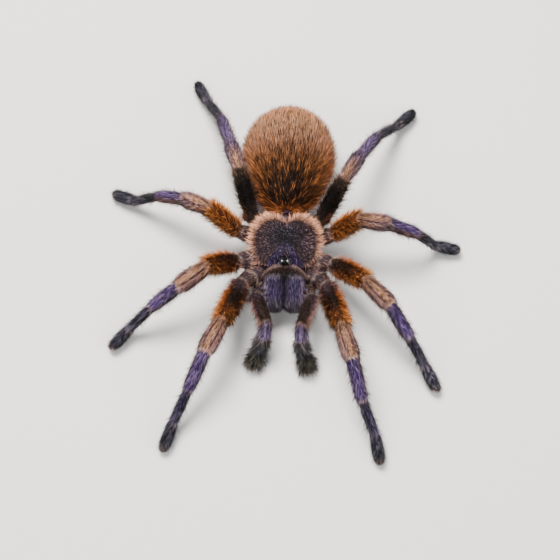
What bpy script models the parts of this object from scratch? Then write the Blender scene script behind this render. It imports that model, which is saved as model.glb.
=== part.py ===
"""Tarantula, a life-size still model that stands on its eight feet and two palps.

It faces -Y, its left side is +X, and the floor is z = 0.  All sizes are in
millimetres and take in the coat, out to the tips of the hairs; new_object
turns them into metres.  A loft is a list of closed rings joined in order.
"""
import math

import bmesh
import bpy
from mathutils import Vector

MM = 0.001
UP = Vector((0.0, 0.0, 1.0))
GAP = 0.3                      # clear space between neighbouring pieces
SIDES = {"left": 1, "right": -1}

# ---- carapace, the shield over the front body --------------------------------
FOVEA = Vector((0.0, -2.5, 0.0))       # the dimple that its rings shrink towards
CARAPACE_OUTLINE = [                   # left half of the rim, from front to notch
    (0.0, -12.9), (4.2, -12.9), (7.9, -11.9), (10.6, -8.0), (12.2, -2.2),
    (11.3, 2.6), (8.4, 5.7), (4.9, 6.4), (1.9, 5.3), (0.0, 3.9)]
CARAPACE_STEPS = 3                     # points added along each stretch of the outline
RIM_HEIGHT = 12.3                      # underside of the thin edge
RIM_THICK = 0.7
FRONT_RIM_LIFT = 1.3                   # the edge arches over the chelicerae
CROWN_HEIGHT = 16.5
HEAD_SWELL = 0.8                       # extra height of the head round the eyes
HEAD_CENTRE_Y = -8.8
FOVEA_DEPTH = 0.7
CARAPACE_RINGS = (1.0, 0.86, 0.66, 0.42, 0.17)   # shares of the way out to the rim
CARAPACE_FLOOR = 10.9                  # flat underside of the shield

# ---- eyes --------------------------------------------------------------------
TUBERCLE_CENTRE = Vector((0.0, -11.1, 15.9))
TUBERCLE_SIZE = Vector((1.75, 1.35, 1.55))
SMALL_BALL = 0.35                      # a ball under this radius has the fewest faces
EYES = [                               # x, y, z from the tubercle's centre, radius
    (0.72, -0.25, 1.35, 0.42), (1.28, -0.75, 0.80, 0.40),
    (1.40, 0.35, 0.80, 0.32), (0.85, 0.65, 1.12, 0.27)]

# ---- underside of the front body ---------------------------------------------
BASE_TOP = 10.5
BASE_LEVELS = [(BASE_TOP, 0.70), (8.0, 0.72), (6.0, 0.56), (4.8, 0.34)]   # height, share
LABIUM_CENTRE = Vector((0.0, -7.9, 5.6))
LABIUM_SIZE = Vector((1.6, 1.4, 1.5))

# ---- legs --------------------------------------------------------------------
SEGMENTS = ("femur", "patella", "tibia", "metatarsus", "tarsus")
LIMB_SIDES = 12
# hip, then the end of the coxa and the coxa's root under the body (left side)
LEG_ROOTS = {
    1: [(12.4, -15.4, 9.5), (9.5, -11.4, 8.4), (3.5, -7.2, 7.8)],
    2: [(14.1, -8.8, 9.4), (10.9, -6.8, 8.3), (3.6, -4.4, 7.8)],
    3: [(13.9, 0.9, 9.3), (10.6, -0.4, 8.2), (3.6, -1.4, 7.8)],
    4: [(10.2, 5.4, 9.2), (7.9, 3.4, 8.2), (3.7, 0.3, 7.8)]}
LEG_LENGTHS = {
    1: (16.8, 10.6, 12.3, 11.3, 8.6),
    2: (15.3, 10.0, 11.1, 10.6, 8.5),
    3: (13.4, 9.0, 10.1, 11.2, 8.4),
    4: (16.1, 10.0, 13.4, 14.6, 8.7)}
# the height that each segment ends at, and its bearing in degrees from straight ahead
LEG_POSES = {
    (1, "left"): [(16.6, 16), (16.9, 18), (10.4, 18), (4.1, 26), (1.7, 13)],
    (2, "left"): [(18.8, 47), (16.2, 50), (10.7, 38), (4.1, 38), (1.7, 30)],
    (3, "left"): [(20.8, 90), (18.9, 89), (13.6, 87), (4.2, 94), (1.7, 86)],
    (4, "left"): [(22.0, 141), (20.2, 152), (13.3, 152), (3.9, 143), (1.7, 139)],
    (1, "right"): [(16.8, 18), (16.8, 25), (10.0, 26), (3.9, 27), (1.7, 19)],
    (2, "right"): [(20.9, 51), (17.4, 58), (11.0, 62), (4.1, 57), (1.7, 44)],
    (3, "right"): [(19.4, 107), (17.0, 117), (11.8, 111), (4.0, 102), (1.7, 114)],
    (4, "right"): [(20.6, 158), (18.4, 163), (12.4, 163), (3.9, 153), (1.7, 154)]}
# full width and height of each segment with its hairs
LEG_SECTIONS = {
    1: [(7.4, 6.6), (6.0, 5.8), (5.4, 5.2), (4.9, 4.6), (4.7, 4.2)],
    2: [(7.4, 6.6), (6.0, 5.8), (5.4, 5.2), (4.9, 4.6), (4.7, 4.2)],
    3: [(7.2, 6.4), (5.8, 5.6), (5.2, 5.0), (4.8, 4.6), (4.6, 4.2)],
    4: [(5.4, 6.0), (5.2, 5.4), (4.9, 4.9), (4.6, 4.5), (4.5, 4.2)]}
# how full a segment is at each share of its length
FEMUR_SHAPE = [(0.0, 0.70), (0.25, 0.92), (0.5, 1.0), (0.78, 0.97), (1.0, 0.82)]
PATELLA_SHAPE = [(0.0, 0.84), (0.25, 0.98), (0.5, 1.0), (0.78, 0.97), (1.0, 0.84)]
SHAFT_SHAPE = [(0.0, 0.84), (0.3, 1.0), (0.72, 0.98), (1.0, 0.84)]
TARSUS_SHAPE = [(0.0, 0.88), (0.3, 1.0), (0.55, 1.0), (0.8, 0.94), (0.94, 0.70), (1.0, 0.36)]
LIMB_SHAPES = {
    "femur": FEMUR_SHAPE, "patella": PATELLA_SHAPE, "tibia": SHAFT_SHAPE,
    "metatarsus": SHAFT_SHAPE, "tarsus": TARSUS_SHAPE}
SOLE_SHARES = (0.55, 0.94)             # the stretch of a tarsus that rests on the floor
SOLE_POINTS = 3                        # points of each ring there that touch the floor
HIP_SECTION = (5.2, 5.0)
COXA_SECTION = (5.9, 5.0)

# ---- palps, the short pair of feelers beside the chelicerae ------------------
PALP_SEGMENTS = ("femur", "patella", "tibia", "tarsus")
PALP_ROOT = [(8.1, -18.6, 8.5), (7.9, -15.1, 5.7), (3.0, -9.2, 5.6)]
PALP_LENGTHS = (11.8, 5.2, 6.2, 5.8)
PALP_POSES = {
    "left": [(13.6, -15), (10.0, -1), (4.2, 20), (1.7, 21)],
    "right": [(13.8, -19), (9.9, 7), (4.2, 40), (1.7, 21)]}
PALP_SECTIONS = [(4.2, 4.2), (4.3, 4.0), (4.2, 4.0), (5.0, 4.0)]
PALP_HIP_SECTION = (3.4, 3.4)
PALP_COXA_SECTION = (3.8, 3.4)

# ---- chelicerae and fangs ----------------------------------------------------
CHELICERA_X = 3.15
# y and z of the middle of each ring, its half width and half height
CHELICERA_RINGS = [
    (-13.0, 10.0, 2.5, 2.6), (-14.2, 10.2, 2.9, 3.3), (-16.2, 9.8, 3.0, 3.7),
    (-18.3, 8.8, 2.95, 3.7), (-20.2, 7.3, 2.6, 3.2), (-21.5, 5.9, 1.9, 2.2), (-22.1, 5.1, 0.9, 1.0)]
CHELICERA_SIDES = 14
FANG_PIVOT = Vector((0.0, -18.6, 5.0))   # centre of the arc that a fang follows
FANG_ARC_RADIUS = 2.9
FANG_ARC = (-48.0, -145.0)             # degrees from straight ahead, downwards
FANG_ROOT_X = 2.6
FANG_TIP_X = 1.9
FANG_RADII = (0.72, 0.22)
FANG_STEPS = 7
FANG_SIDES = 8

# ---- pedicel, abdomen and spinnerets -----------------------------------------
PEDICEL = [(3.7, 8.7, 1.3), (4.7, 9.1, 1.2), (5.8, 9.6, 1.5)]   # y, z, radius
ABDOMEN_FRONT_Y = 6.15
ABDOMEN_WIDEST_Y = 25.0
ABDOMEN_REAR_Y = 40.9
ABDOMEN_HALF_WIDTH = 13.3
ABDOMEN_HALF_HEIGHT = 11.4
ABDOMEN_FRONT_Z = 10.4
ABDOMEN_MIDDLE_Z = 12.9
ABDOMEN_REAR_Z = 12.2
ABDOMEN_FRONT_POWER = 2.15             # above 2 the front is fuller than an ellipse
ABDOMEN_RINGS = 15
ABDOMEN_SIDES = 24
SPINNERET_PATH = [(1.2, 38.4, 5.0), (1.7, 39.7, 4.3), (2.1, 40.9, 4.2), (2.3, 42.0, 4.6)]
SPINNERET_RADII = (0.95, 0.9, 0.75, 0.35)
SPINNERET_SIDES = 8

SMOOTH_ANGLE = math.radians(40.0)

# colour, roughness
FINISHES = {
    "carapace velvet": ((0.050, 0.036, 0.050), 0.75),
    "eye": ((0.004, 0.004, 0.005), 0.15),
    "underside": ((0.045, 0.030, 0.026), 0.8),
    "femur": ((0.110, 0.040, 0.012), 0.8),
    "patella": ((0.400, 0.220, 0.170), 0.75),
    "tibia": ((0.095, 0.055, 0.270), 0.65),
    "metatarsus": ((0.030, 0.026, 0.055), 0.7),
    "tarsus": ((0.045, 0.060, 0.070), 0.8),
    "chelicera": ((0.110, 0.080, 0.260), 0.6),
    "fang": ((0.012, 0.006, 0.005), 0.2),
    "pedicel": ((0.090, 0.050, 0.080), 0.8),
    "abdomen": ((0.360, 0.130, 0.045), 0.85),
    "spinneret": ((0.060, 0.040, 0.030), 0.8)}


# ---- scene and materials -----------------------------------------------------
def clear_scene():
    for old in list(bpy.data.objects):
        bpy.data.objects.remove(old, do_unlink=True)


def finish(name):
    """Material of that name, made on first use."""
    material = bpy.data.materials.get(name)
    if material is None:
        material = bpy.data.materials.new(name)
        material.use_nodes = True
        colour, roughness = FINISHES[name]
        shader = material.node_tree.nodes["Principled BSDF"]
        shader.inputs["Base Color"].default_value = (*colour, 1.0)
        shader.inputs["Roughness"].default_value = roughness
        shader.inputs["Metallic"].default_value = 0.0
    return material


def new_object(name, shape, material):
    """Scene object from a bmesh in millimetres, which it frees."""
    bmesh.ops.recalc_face_normals(shape, faces=shape.faces)
    bmesh.ops.scale(shape, vec=(MM, MM, MM), verts=shape.verts)
    mesh = bpy.data.meshes.new(name)
    shape.to_mesh(mesh)
    shape.free()
    mesh.shade_smooth()
    mesh.set_sharp_from_angle(angle=SMOOTH_ANGLE)
    mesh.materials.append(finish(material))
    piece = bpy.data.objects.new(name, mesh)
    bpy.context.collection.objects.link(piece)
    return piece


def hide_helper(piece):
    piece.hide_render = True
    piece.display_type = "WIRE"


def combine(body, helper, operation):
    """Boolean of a helper object with a body, kept as a modifier."""
    change = body.modifiers.new(helper.name, "BOOLEAN")
    change.operation = operation
    change.solver = "EXACT"
    change.object = helper
    hide_helper(helper)


# ---- lofts -------------------------------------------------------------------
def add_loft(shape, rings):
    """Closed body through rings of equally many points, with a flat cap on each end."""
    loops = [[shape.verts.new(point) for point in ring] for ring in rings]
    for near, far in zip(loops, loops[1:]):
        for i, corner in enumerate(near):
            j = (i + 1) % len(near)
            shape.faces.new((corner, near[j], far[j], far[i]))
    shape.faces.new(loops[0])
    shape.faces.new(loops[-1])


def loft(name, rings, material):
    shape = bmesh.new()
    add_loft(shape, rings)
    return new_object(name, shape, material)


def close_with_fan(shape, loop, centre):
    middle = shape.verts.new(centre)
    for i, corner in enumerate(loop):
        shape.faces.new((corner, loop[(i + 1) % len(loop)], middle))


def slanted_ring(centre, axis, plane, width, height, sides=LIMB_SIDES):
    """Ellipse of that width and height round the axis, cut by a plane through the centre."""
    across = axis.cross(UP).normalized()
    upward = across.cross(axis).normalized()
    points = []
    for i in range(sides):
        turn = math.tau * i / sides
        offset = across * (width / 2 * math.cos(turn)) + upward * (height / 2 * math.sin(turn))
        slide = -offset.dot(plane) / axis.dot(plane)
        points.append(centre + offset + axis * slide)
    return points


def tube_rings(points, radii, sides):
    """Round rings along a bent path, each square to the path."""
    rings = []
    for i, point in enumerate(points):
        before = points[max(i - 1, 0)]
        after = points[min(i + 1, len(points) - 1)]
        axis = (after - before).normalized()
        rings.append(slanted_ring(point, axis, axis, 2 * radii[i], 2 * radii[i], sides))
    return rings


def on_side(point, side):
    """The same point on the left or the right half of the animal."""
    return Vector((point[0] * SIDES[side], point[1], point[2]))


def bisector(before, after):
    return (before + after).normalized()


# ---- limbs -------------------------------------------------------------------
def limb_joints(hip, lengths, poses, side):
    """Joints outwards from the hip; each segment ends at its own height."""
    joints = [hip]
    for length, (height, bearing) in zip(lengths, poses):
        rise = height - joints[-1].z
        reach = math.sqrt(length ** 2 - rise ** 2)
        turn = math.radians(bearing)
        step = Vector((SIDES[side] * reach * math.sin(turn), -reach * math.cos(turn), rise))
        joints.append(joints[-1] + step)
    return joints


def segment_rings(start, end, first_cut, last_cut, section, shape):
    """Rings of one segment between the slanted cuts at its two joints."""
    axis = (end - start).normalized()
    near = start + axis * (GAP / 2 / axis.dot(first_cut))
    far = end - axis * (GAP / 2 / axis.dot(last_cut))
    rings = []
    for share, fullness in shape:
        nearest = first_cut if share < 0.5 else last_cut
        plane = axis.lerp(nearest, abs(2.0 * share - 1.0)).normalized()
        centre = near.lerp(far, share)
        rings.append(slanted_ring(centre, axis, plane, section[0] * fullness, section[1] * fullness))
    return rings


def flatten_sole(rings, shape):
    """Sets the lowest points of a tarsus on the floor, as one flat."""
    for ring, (share, _) in zip(rings, shape):
        for point in ring:
            point.z = max(point.z, 0.0)
        if SOLE_SHARES[0] <= share <= SOLE_SHARES[1]:
            for point in sorted(ring, key=lambda point: point.z)[:SOLE_POINTS]:
                point.z = 0.0


def build_limb(prefix, segment_names, joints, hip_direction, sections):
    """One object for each segment, parted at the joints by mitred cuts."""
    axes = [(b - a).normalized() for a, b in zip(joints, joints[1:])]
    cuts = [bisector(hip_direction, axes[0])]
    cuts += [bisector(a, b) for a, b in zip(axes, axes[1:])]
    cuts.append(axes[-1])
    pieces = []
    for i, name in enumerate(segment_names):
        shape = LIMB_SHAPES[name]
        rings = segment_rings(joints[i], joints[i + 1], cuts[i], cuts[i + 1], sections[i], shape)
        if name == "tarsus":
            flatten_sole(rings, shape)
        pieces.append(loft(f"{prefix}_{name}", rings, name))
    return pieces, cuts[0]


def build_coxa(name, root_points, side, hip_cut, coxa_section, hip_section):
    """Coxa and trochanter, from under the body to the cut at the hip."""
    hip, knee, root = [on_side(point, side) for point in root_points]
    inner = (knee - root).normalized()
    outer = (hip - knee).normalized()
    middle = bisector(inner, outer)
    end = hip - outer * (GAP / 2 / outer.dot(hip_cut))
    waist = 0.84                         # the coxa and the trochanter meet at a narrower ring
    rings = [
        slanted_ring(root, inner, inner, *coxa_section),
        slanted_ring(knee, inner, middle, coxa_section[0] * waist, coxa_section[1] * waist),
        slanted_ring(knee.lerp(end, 0.5), outer, middle.lerp(hip_cut, 0.5), *hip_section),
        slanted_ring(end, outer, hip_cut, hip_section[0] * waist, hip_section[1] * waist)]
    return loft(name, rings, "underside")


def build_leg(number, side):
    roots = LEG_ROOTS[number]
    hip = on_side(roots[0], side)
    joints = limb_joints(hip, LEG_LENGTHS[number], LEG_POSES[number, side], side)
    hip_direction = (hip - on_side(roots[1], side)).normalized()
    prefix = f"leg_{number}_{side}"
    pieces, hip_cut = build_limb(prefix, SEGMENTS, joints, hip_direction, LEG_SECTIONS[number])
    coxa = build_coxa(f"{prefix}_coxa", roots, side, hip_cut, COXA_SECTION, HIP_SECTION)
    return pieces, coxa


def build_palp(side):
    hip = on_side(PALP_ROOT[0], side)
    joints = limb_joints(hip, PALP_LENGTHS, PALP_POSES[side], side)
    hip_direction = (hip - on_side(PALP_ROOT[1], side)).normalized()
    prefix = f"palp_{side}"
    pieces, hip_cut = build_limb(prefix, PALP_SEGMENTS, joints, hip_direction, PALP_SECTIONS)
    coxa = build_coxa(
        f"{prefix}_coxa", PALP_ROOT, side, hip_cut, PALP_COXA_SECTION, PALP_HIP_SECTION)
    return pieces, coxa


# ---- carapace ----------------------------------------------------------------
def smooth_loop(points, steps):
    """Catmull-Rom curve through a closed list of 2-D points."""
    count = len(points)
    curve = []
    for i in range(count):
        a, b, c, d = [Vector(points[(i + k) % count]) for k in (-1, 0, 1, 2)]
        for step in range(steps):
            t = step / steps
            curve.append(
                b + (c - a) * (t / 2)
                + (a * 2 - b * 5 + c * 4 - d) * (t * t / 2)
                + (b * 3 - a - c * 3 + d) * (t ** 3 / 2))
    return curve


def carapace_outline():
    """Whole rim, counter-clockwise from the middle of the front."""
    right = [(-x, y) for x, y in CARAPACE_OUTLINE[1:-1]]
    return smooth_loop(CARAPACE_OUTLINE + right[::-1], CARAPACE_STEPS)


def shrink(outline, share):
    """The outline drawn in towards the fovea, which leaves the notch behind."""
    return [FOVEA.xy.lerp(point, share) for point in outline]


def front_weight(point):
    """1 at the middle of the front edge, fading towards the sides and the rear."""
    ahead = min(max((-point.y - 6.0) / 6.0, 0.0), 1.0)
    return ahead * math.exp(-(point.x / 5.5) ** 2)


def carapace_height(point, share):
    """Height of the shield's top, where share runs from the fovea (0) to the rim (1)."""
    front = front_weight(point)
    rim = RIM_HEIGHT + RIM_THICK + FRONT_RIM_LIFT * front
    power = 2.3 + 3.0 * front
    head = math.exp(-(point.x / 4.2) ** 2 - ((point.y - HEAD_CENTRE_Y) / 3.6) ** 2)
    dimple = math.exp(-((point - FOVEA.xy).length / 1.3) ** 2)
    crown = rim + (CROWN_HEIGHT - rim) * (1.0 - share ** power)
    return crown + HEAD_SWELL * head * (1.0 - share ** 4) - FOVEA_DEPTH * dimple


def build_carapace():
    outline = carapace_outline()
    shape = bmesh.new()
    loops = []
    lower = [Vector((p.x, p.y, CARAPACE_FLOOR)) for p in shrink(outline, 0.84)]
    edge = [Vector((p.x, p.y, RIM_HEIGHT + FRONT_RIM_LIFT * front_weight(p))) for p in outline]
    loops.append([shape.verts.new(p) for p in lower])
    loops.append([shape.verts.new(p) for p in edge])
    for share in CARAPACE_RINGS:
        inset = shrink(outline, share)
        loops.append([
            shape.verts.new((p.x, p.y, carapace_height(p, share))) for p in inset])
    for near, far in zip(loops, loops[1:]):
        for i, corner in enumerate(near):
            j = (i + 1) % len(near)
            shape.faces.new((corner, near[j], far[j], far[i]))
    close_with_fan(shape, loops[0], (FOVEA.x, FOVEA.y, CARAPACE_FLOOR))
    close_with_fan(shape, loops[-1], (FOVEA.x, FOVEA.y, carapace_height(FOVEA.xy, 0.0)))
    return new_object("carapace", shape, "carapace velvet")


# ---- eyes --------------------------------------------------------------------
def ball(name, centre, size, material):
    """Ellipsoid with half axes as given, finer where it is larger."""
    shape = bmesh.new()
    finest = 2 if max(size) > SMALL_BALL else 1
    bmesh.ops.create_icosphere(shape, subdivisions=finest, radius=1.0)
    bmesh.ops.scale(shape, vec=size, verts=shape.verts)
    bmesh.ops.translate(shape, vec=centre, verts=shape.verts)
    return new_object(name, shape, material)


def build_eyes(carapace):
    """Low mound with four pairs of domed eyes, sunk in a seat in the carapace."""
    tubercle = ball("eye_tubercle", TUBERCLE_CENTRE, TUBERCLE_SIZE, "eye")
    for side, sign in SIDES.items():
        for number, (x, y, z, radius) in enumerate(EYES, 1):
            centre = TUBERCLE_CENTRE + Vector((x * sign, y, z))
            eye = ball(f"eye_{number}_{side}", centre, Vector((radius,) * 3), "eye")
            combine(tubercle, eye, "UNION")
    seat_size = TUBERCLE_SIZE + Vector((GAP, GAP, GAP))
    seat = ball("eye_seat", TUBERCLE_CENTRE, seat_size, "eye")
    combine(carapace, seat, "DIFFERENCE")
    return tubercle


# ---- underside ---------------------------------------------------------------
def build_underside(coxae):
    """Sternum and labium with the ten coxae and trochanters joined to them."""
    outline = carapace_outline()[::2]
    rings = []
    for height, share in BASE_LEVELS:
        rings.append([Vector((p.x, p.y, height)) for p in shrink(outline, share)])
    underside = loft("prosoma_underside", rings, "underside")
    labium = ball("labium", LABIUM_CENTRE, LABIUM_SIZE, "underside")
    for helper in coxae + [labium]:
        combine(underside, helper, "UNION")
    return underside


# ---- chelicerae, fangs, pedicel, abdomen and spinnerets ----------------------
def build_chelicera(side):
    middles = [Vector((CHELICERA_X * SIDES[side], y, z)) for y, z, _, _ in CHELICERA_RINGS]
    rings = []
    for i, (_, _, half_width, half_height) in enumerate(CHELICERA_RINGS):
        before = middles[max(i - 1, 0)]
        after = middles[min(i + 1, len(middles) - 1)]
        axis = (after - before).normalized()
        plane = Vector((0.0, -1.0, 0.0)) if i == 0 else axis
        size = (2 * half_width, 2 * half_height)
        rings.append(slanted_ring(middles[i], axis, plane, *size, CHELICERA_SIDES))
    return loft(f"chelicera_{side}", rings, "chelicera")


def build_fang(side):
    """Curved fang folded back under its chelicera."""
    path = []
    radii = []
    for i in range(FANG_STEPS):
        t = i / (FANG_STEPS - 1)
        turn = math.radians(FANG_ARC[0] + (FANG_ARC[1] - FANG_ARC[0]) * t)
        x = FANG_ROOT_X + (FANG_TIP_X - FANG_ROOT_X) * t
        reach = Vector((x, -FANG_ARC_RADIUS * math.cos(turn), FANG_ARC_RADIUS * math.sin(turn)))
        path.append(on_side(FANG_PIVOT + reach, side))
        radii.append(FANG_RADII[0] + (FANG_RADII[1] - FANG_RADII[0]) * t)
    return loft(f"fang_{side}", tube_rings(path, radii, FANG_SIDES), "fang")


def build_pedicel():
    path = [Vector((0.0, y, z)) for y, z, _ in PEDICEL]
    radii = [radius for _, _, radius in PEDICEL]
    return loft("pedicel", tube_rings(path, radii, LIMB_SIDES), "pedicel")


def abdomen_share(y):
    """How full the abdomen is at y, from 0 at either end to 1 at its widest."""
    if y < ABDOMEN_WIDEST_Y:
        away = (ABDOMEN_WIDEST_Y - y) / (ABDOMEN_WIDEST_Y - ABDOMEN_FRONT_Y)
        power = ABDOMEN_FRONT_POWER
    else:
        away = (y - ABDOMEN_WIDEST_Y) / (ABDOMEN_REAR_Y - ABDOMEN_WIDEST_Y)
        power = 2.0
    return max(1.0 - away ** power, 0.0) ** (1.0 / power)


def abdomen_middle(y):
    """Height of the abdomen's axis: it rises from the pedicel and dips to the rear."""
    if y < ABDOMEN_WIDEST_Y:
        t = (y - ABDOMEN_FRONT_Y) / (ABDOMEN_WIDEST_Y - ABDOMEN_FRONT_Y)
        return ABDOMEN_FRONT_Z + (ABDOMEN_MIDDLE_Z - ABDOMEN_FRONT_Z) * math.sin(t * math.pi / 2)
    t = (y - ABDOMEN_WIDEST_Y) / (ABDOMEN_REAR_Y - ABDOMEN_WIDEST_Y)
    return ABDOMEN_MIDDLE_Z + (ABDOMEN_REAR_Z - ABDOMEN_MIDDLE_Z) * t * t


def build_abdomen():
    rings = []
    half_length = (ABDOMEN_REAR_Y - ABDOMEN_FRONT_Y) / 2
    for i in range(ABDOMEN_RINGS):
        turn = math.pi * (i + 0.6) / (ABDOMEN_RINGS + 0.2)
        y = ABDOMEN_FRONT_Y + half_length * (1.0 - math.cos(turn))
        share = abdomen_share(y)
        ring = []
        for k in range(ABDOMEN_SIDES):
            around = math.tau * k / ABDOMEN_SIDES
            ring.append(Vector((
                ABDOMEN_HALF_WIDTH * share * math.cos(around),
                y,
                abdomen_middle(y) + ABDOMEN_HALF_HEIGHT * share * math.sin(around))))
        rings.append(ring)
    return loft("abdomen", rings, "abdomen")


def build_spinneret(side):
    path = [on_side(point, side) for point in SPINNERET_PATH]
    rings = tube_rings(path, SPINNERET_RADII, SPINNERET_SIDES)
    return loft(f"spinneret_{side}", rings, "spinneret")


# ---- the whole animal --------------------------------------------------------
def centre_on_floor(pieces):
    """Hangs every piece on one empty, set so that the middle of their box is the origin."""
    bpy.context.view_layer.update()
    corners = [piece.matrix_world @ vertex.co for piece in pieces for vertex in piece.data.vertices]
    middle_x = (min(c.x for c in corners) + max(c.x for c in corners)) / 2
    middle_y = (min(c.y for c in corners) + max(c.y for c in corners)) / 2
    stand = bpy.data.objects.new("tarantula", None)
    bpy.context.collection.objects.link(stand)
    for piece in bpy.data.objects:
        if piece is not stand:
            piece.parent = stand
    stand.location = (-middle_x, -middle_y, 0.0)


def build_tarantula():
    clear_scene()
    pieces = []
    coxae = []
    for side in SIDES:
        for number in LEG_ROOTS:
            segments, coxa = build_leg(number, side)
            pieces += segments
            coxae.append(coxa)
        segments, coxa = build_palp(side)
        pieces += segments
        coxae.append(coxa)
        pieces += [build_chelicera(side), build_fang(side), build_spinneret(side)]
    carapace = build_carapace()
    pieces += [carapace, build_eyes(carapace), build_underside(coxae)]
    pieces += [build_pedicel(), build_abdomen()]
    centre_on_floor(pieces)


build_tarantula()
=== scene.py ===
"""Looks of a life-size tarantula: one skin over its flesh, a coat of hairs, eyes, fangs and claws.

Lengths are in millimetres until a mesh is finished, and every finished mesh is in metres.
A "segment" is one length of a limb, with its joints, its axis and its upper side.
"""
import math
from types import SimpleNamespace

import bmesh
import bpy
import numpy as np
from mathutils import Matrix, Vector
from mathutils.kdtree import KDTree


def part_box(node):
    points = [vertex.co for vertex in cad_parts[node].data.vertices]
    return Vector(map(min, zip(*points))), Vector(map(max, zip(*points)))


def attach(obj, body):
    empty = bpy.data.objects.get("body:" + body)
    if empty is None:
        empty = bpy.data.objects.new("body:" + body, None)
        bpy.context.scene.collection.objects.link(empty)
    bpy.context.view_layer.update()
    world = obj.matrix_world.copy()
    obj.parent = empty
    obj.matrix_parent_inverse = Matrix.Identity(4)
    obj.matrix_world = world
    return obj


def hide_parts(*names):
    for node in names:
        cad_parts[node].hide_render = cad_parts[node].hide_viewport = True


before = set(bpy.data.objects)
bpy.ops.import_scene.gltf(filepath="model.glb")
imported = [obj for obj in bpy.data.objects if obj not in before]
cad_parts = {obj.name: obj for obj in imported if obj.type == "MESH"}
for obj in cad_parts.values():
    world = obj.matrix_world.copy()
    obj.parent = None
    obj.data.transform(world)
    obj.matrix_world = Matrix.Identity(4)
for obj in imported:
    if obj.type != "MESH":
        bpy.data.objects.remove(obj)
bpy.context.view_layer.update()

MM = 0.001
SIDES = {"left": 1.0, "right": -1.0}
LEG_SEGMENTS = ("femur", "patella", "tibia", "metatarsus", "tarsus")
PALP_SEGMENTS = ("femur", "patella", "tibia", "tarsus")
LIMBS = {f"leg_{n}_{side}": LEG_SEGMENTS for n in (1, 2, 3, 4) for side in SIDES}
LIMBS.update({f"palp_{side}": PALP_SEGMENTS for side in SIDES})

# how deep the coat lies over the flesh, at the sides and at the top of a segment
LEG_COAT_DEPTH = {
    "femur": (1.40, 0.85), "patella": (0.45, 0.45), "tibia": (0.85, 0.75),
    "metatarsus": (1.10, 0.90), "tarsus": (0.85, 0.65)}
PALP_COAT_DEPTH = {"femur": (0.60, 0.60), "patella": (0.40, 0.40), "tibia": (0.40, 0.45),
                   "tarsus": (0.95, 0.70)}
SLIM_FEMUR_DEPTH = (0.70, 0.70)        # the fourth leg's femur has no fringe
# how full the flesh is along a segment: share of its length, share of its thickness
FLESH = {
    "femur": ((0.0, 0.25, 0.55, 0.85, 1.0), (0.80, 0.96, 1.0, 0.93, 0.80)),
    "patella": ((0.0, 0.25, 0.6, 0.88, 1.0), (0.76, 0.90, 1.0, 1.02, 0.86)),
    "tibia": ((0.0, 0.15, 0.5, 0.85, 1.0), (0.80, 0.95, 1.0, 0.97, 0.84)),
    "metatarsus": ((0.0, 0.3, 0.7, 1.0), (0.86, 0.98, 0.96, 0.88)),
    "tarsus": ((0.0, 0.4, 0.75, 0.93, 1.0), (0.85, 1.0, 0.96, 0.75, 0.50))}
SKIN_VOXEL = 0.41
SKIN_SMOOTHING = 4
TUFT_PATCH = 0.003                     # width of one hair's patch on the baking map


# ---- meshes and objects ------------------------------------------------------
def read_vectors(items, field):
    """One vector for each of a mesh's vertices or normals, in rows."""
    flat = np.empty(len(items) * 3, np.float32)
    items.foreach_get(field, flat)
    return flat.reshape(-1, 3)


def mesh_points(mesh):
    return read_vectors(mesh.vertices, "co").astype(float)


def mesh_normals(mesh):
    return read_vectors(mesh.vertex_normals, "vector").astype(float)


def finished_mesh(shape, name):
    """Makes a plain mesh of a bmesh, which is freed."""
    mesh = bpy.data.meshes.new(name)
    shape.to_mesh(mesh)
    shape.free()
    return mesh


def new_object(name, data):
    thing = bpy.data.objects.new(name, data)
    bpy.context.collection.objects.link(thing)
    return thing


def evaluated_mesh(body):
    """A plain mesh of what an object's modifiers make of it."""
    graph = bpy.context.evaluated_depsgraph_get()
    return bpy.data.meshes.new_from_object(body.evaluated_get(graph), depsgraph=graph)


# ---- reading the frame -------------------------------------------------------
def node_box(node):
    low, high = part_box(node)
    return np.array(low) / MM, np.array(high) / MM


def node_corners(node):
    """Distinct corners of a CAD node."""
    corners = read_vectors(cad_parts[node].data.vertices, "co")
    return np.unique(np.round(corners / MM, 3), axis=0).astype(float)


def flat_ends(node):
    """Middles of the two largest flats of a node, which are its cut ends."""
    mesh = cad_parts[node].data
    flats = []
    for face in mesh.polygons:
        level = face.normal.dot(face.center) / MM
        for flat in flats:
            if flat.normal.dot(face.normal) > 0.9998 and abs(flat.level - level) < 0.02:
                break
        else:
            flat = SimpleNamespace(normal=face.normal.copy(), level=level, area=0.0, points=set())
            flats.append(flat)
        flat.area += face.area
        flat.points |= {tuple(round(c / MM, 3) for c in mesh.vertices[v].co) for v in face.vertices}
    flats.sort(key=lambda flat: -flat.area)
    return [np.mean(sorted(flat.points), axis=0) for flat in flats[:2]]


def unit(vector):
    return vector / np.linalg.norm(vector)


def make_segment(name, kind, limb, start, end, sizes):
    """A segment, whose sizes are the half thickness of its flesh across and upwards."""
    axis = unit(end - start)
    across = unit(np.cross(axis, (0.0, 0.0, 1.0)))
    return SimpleNamespace(
        name=name, kind=kind, limb=limb, start=start, end=end, axis=axis, across=across,
        up=np.cross(across, axis), length=np.linalg.norm(end - start), sizes=sizes,
        start_plane=axis, end_plane=axis)


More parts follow.
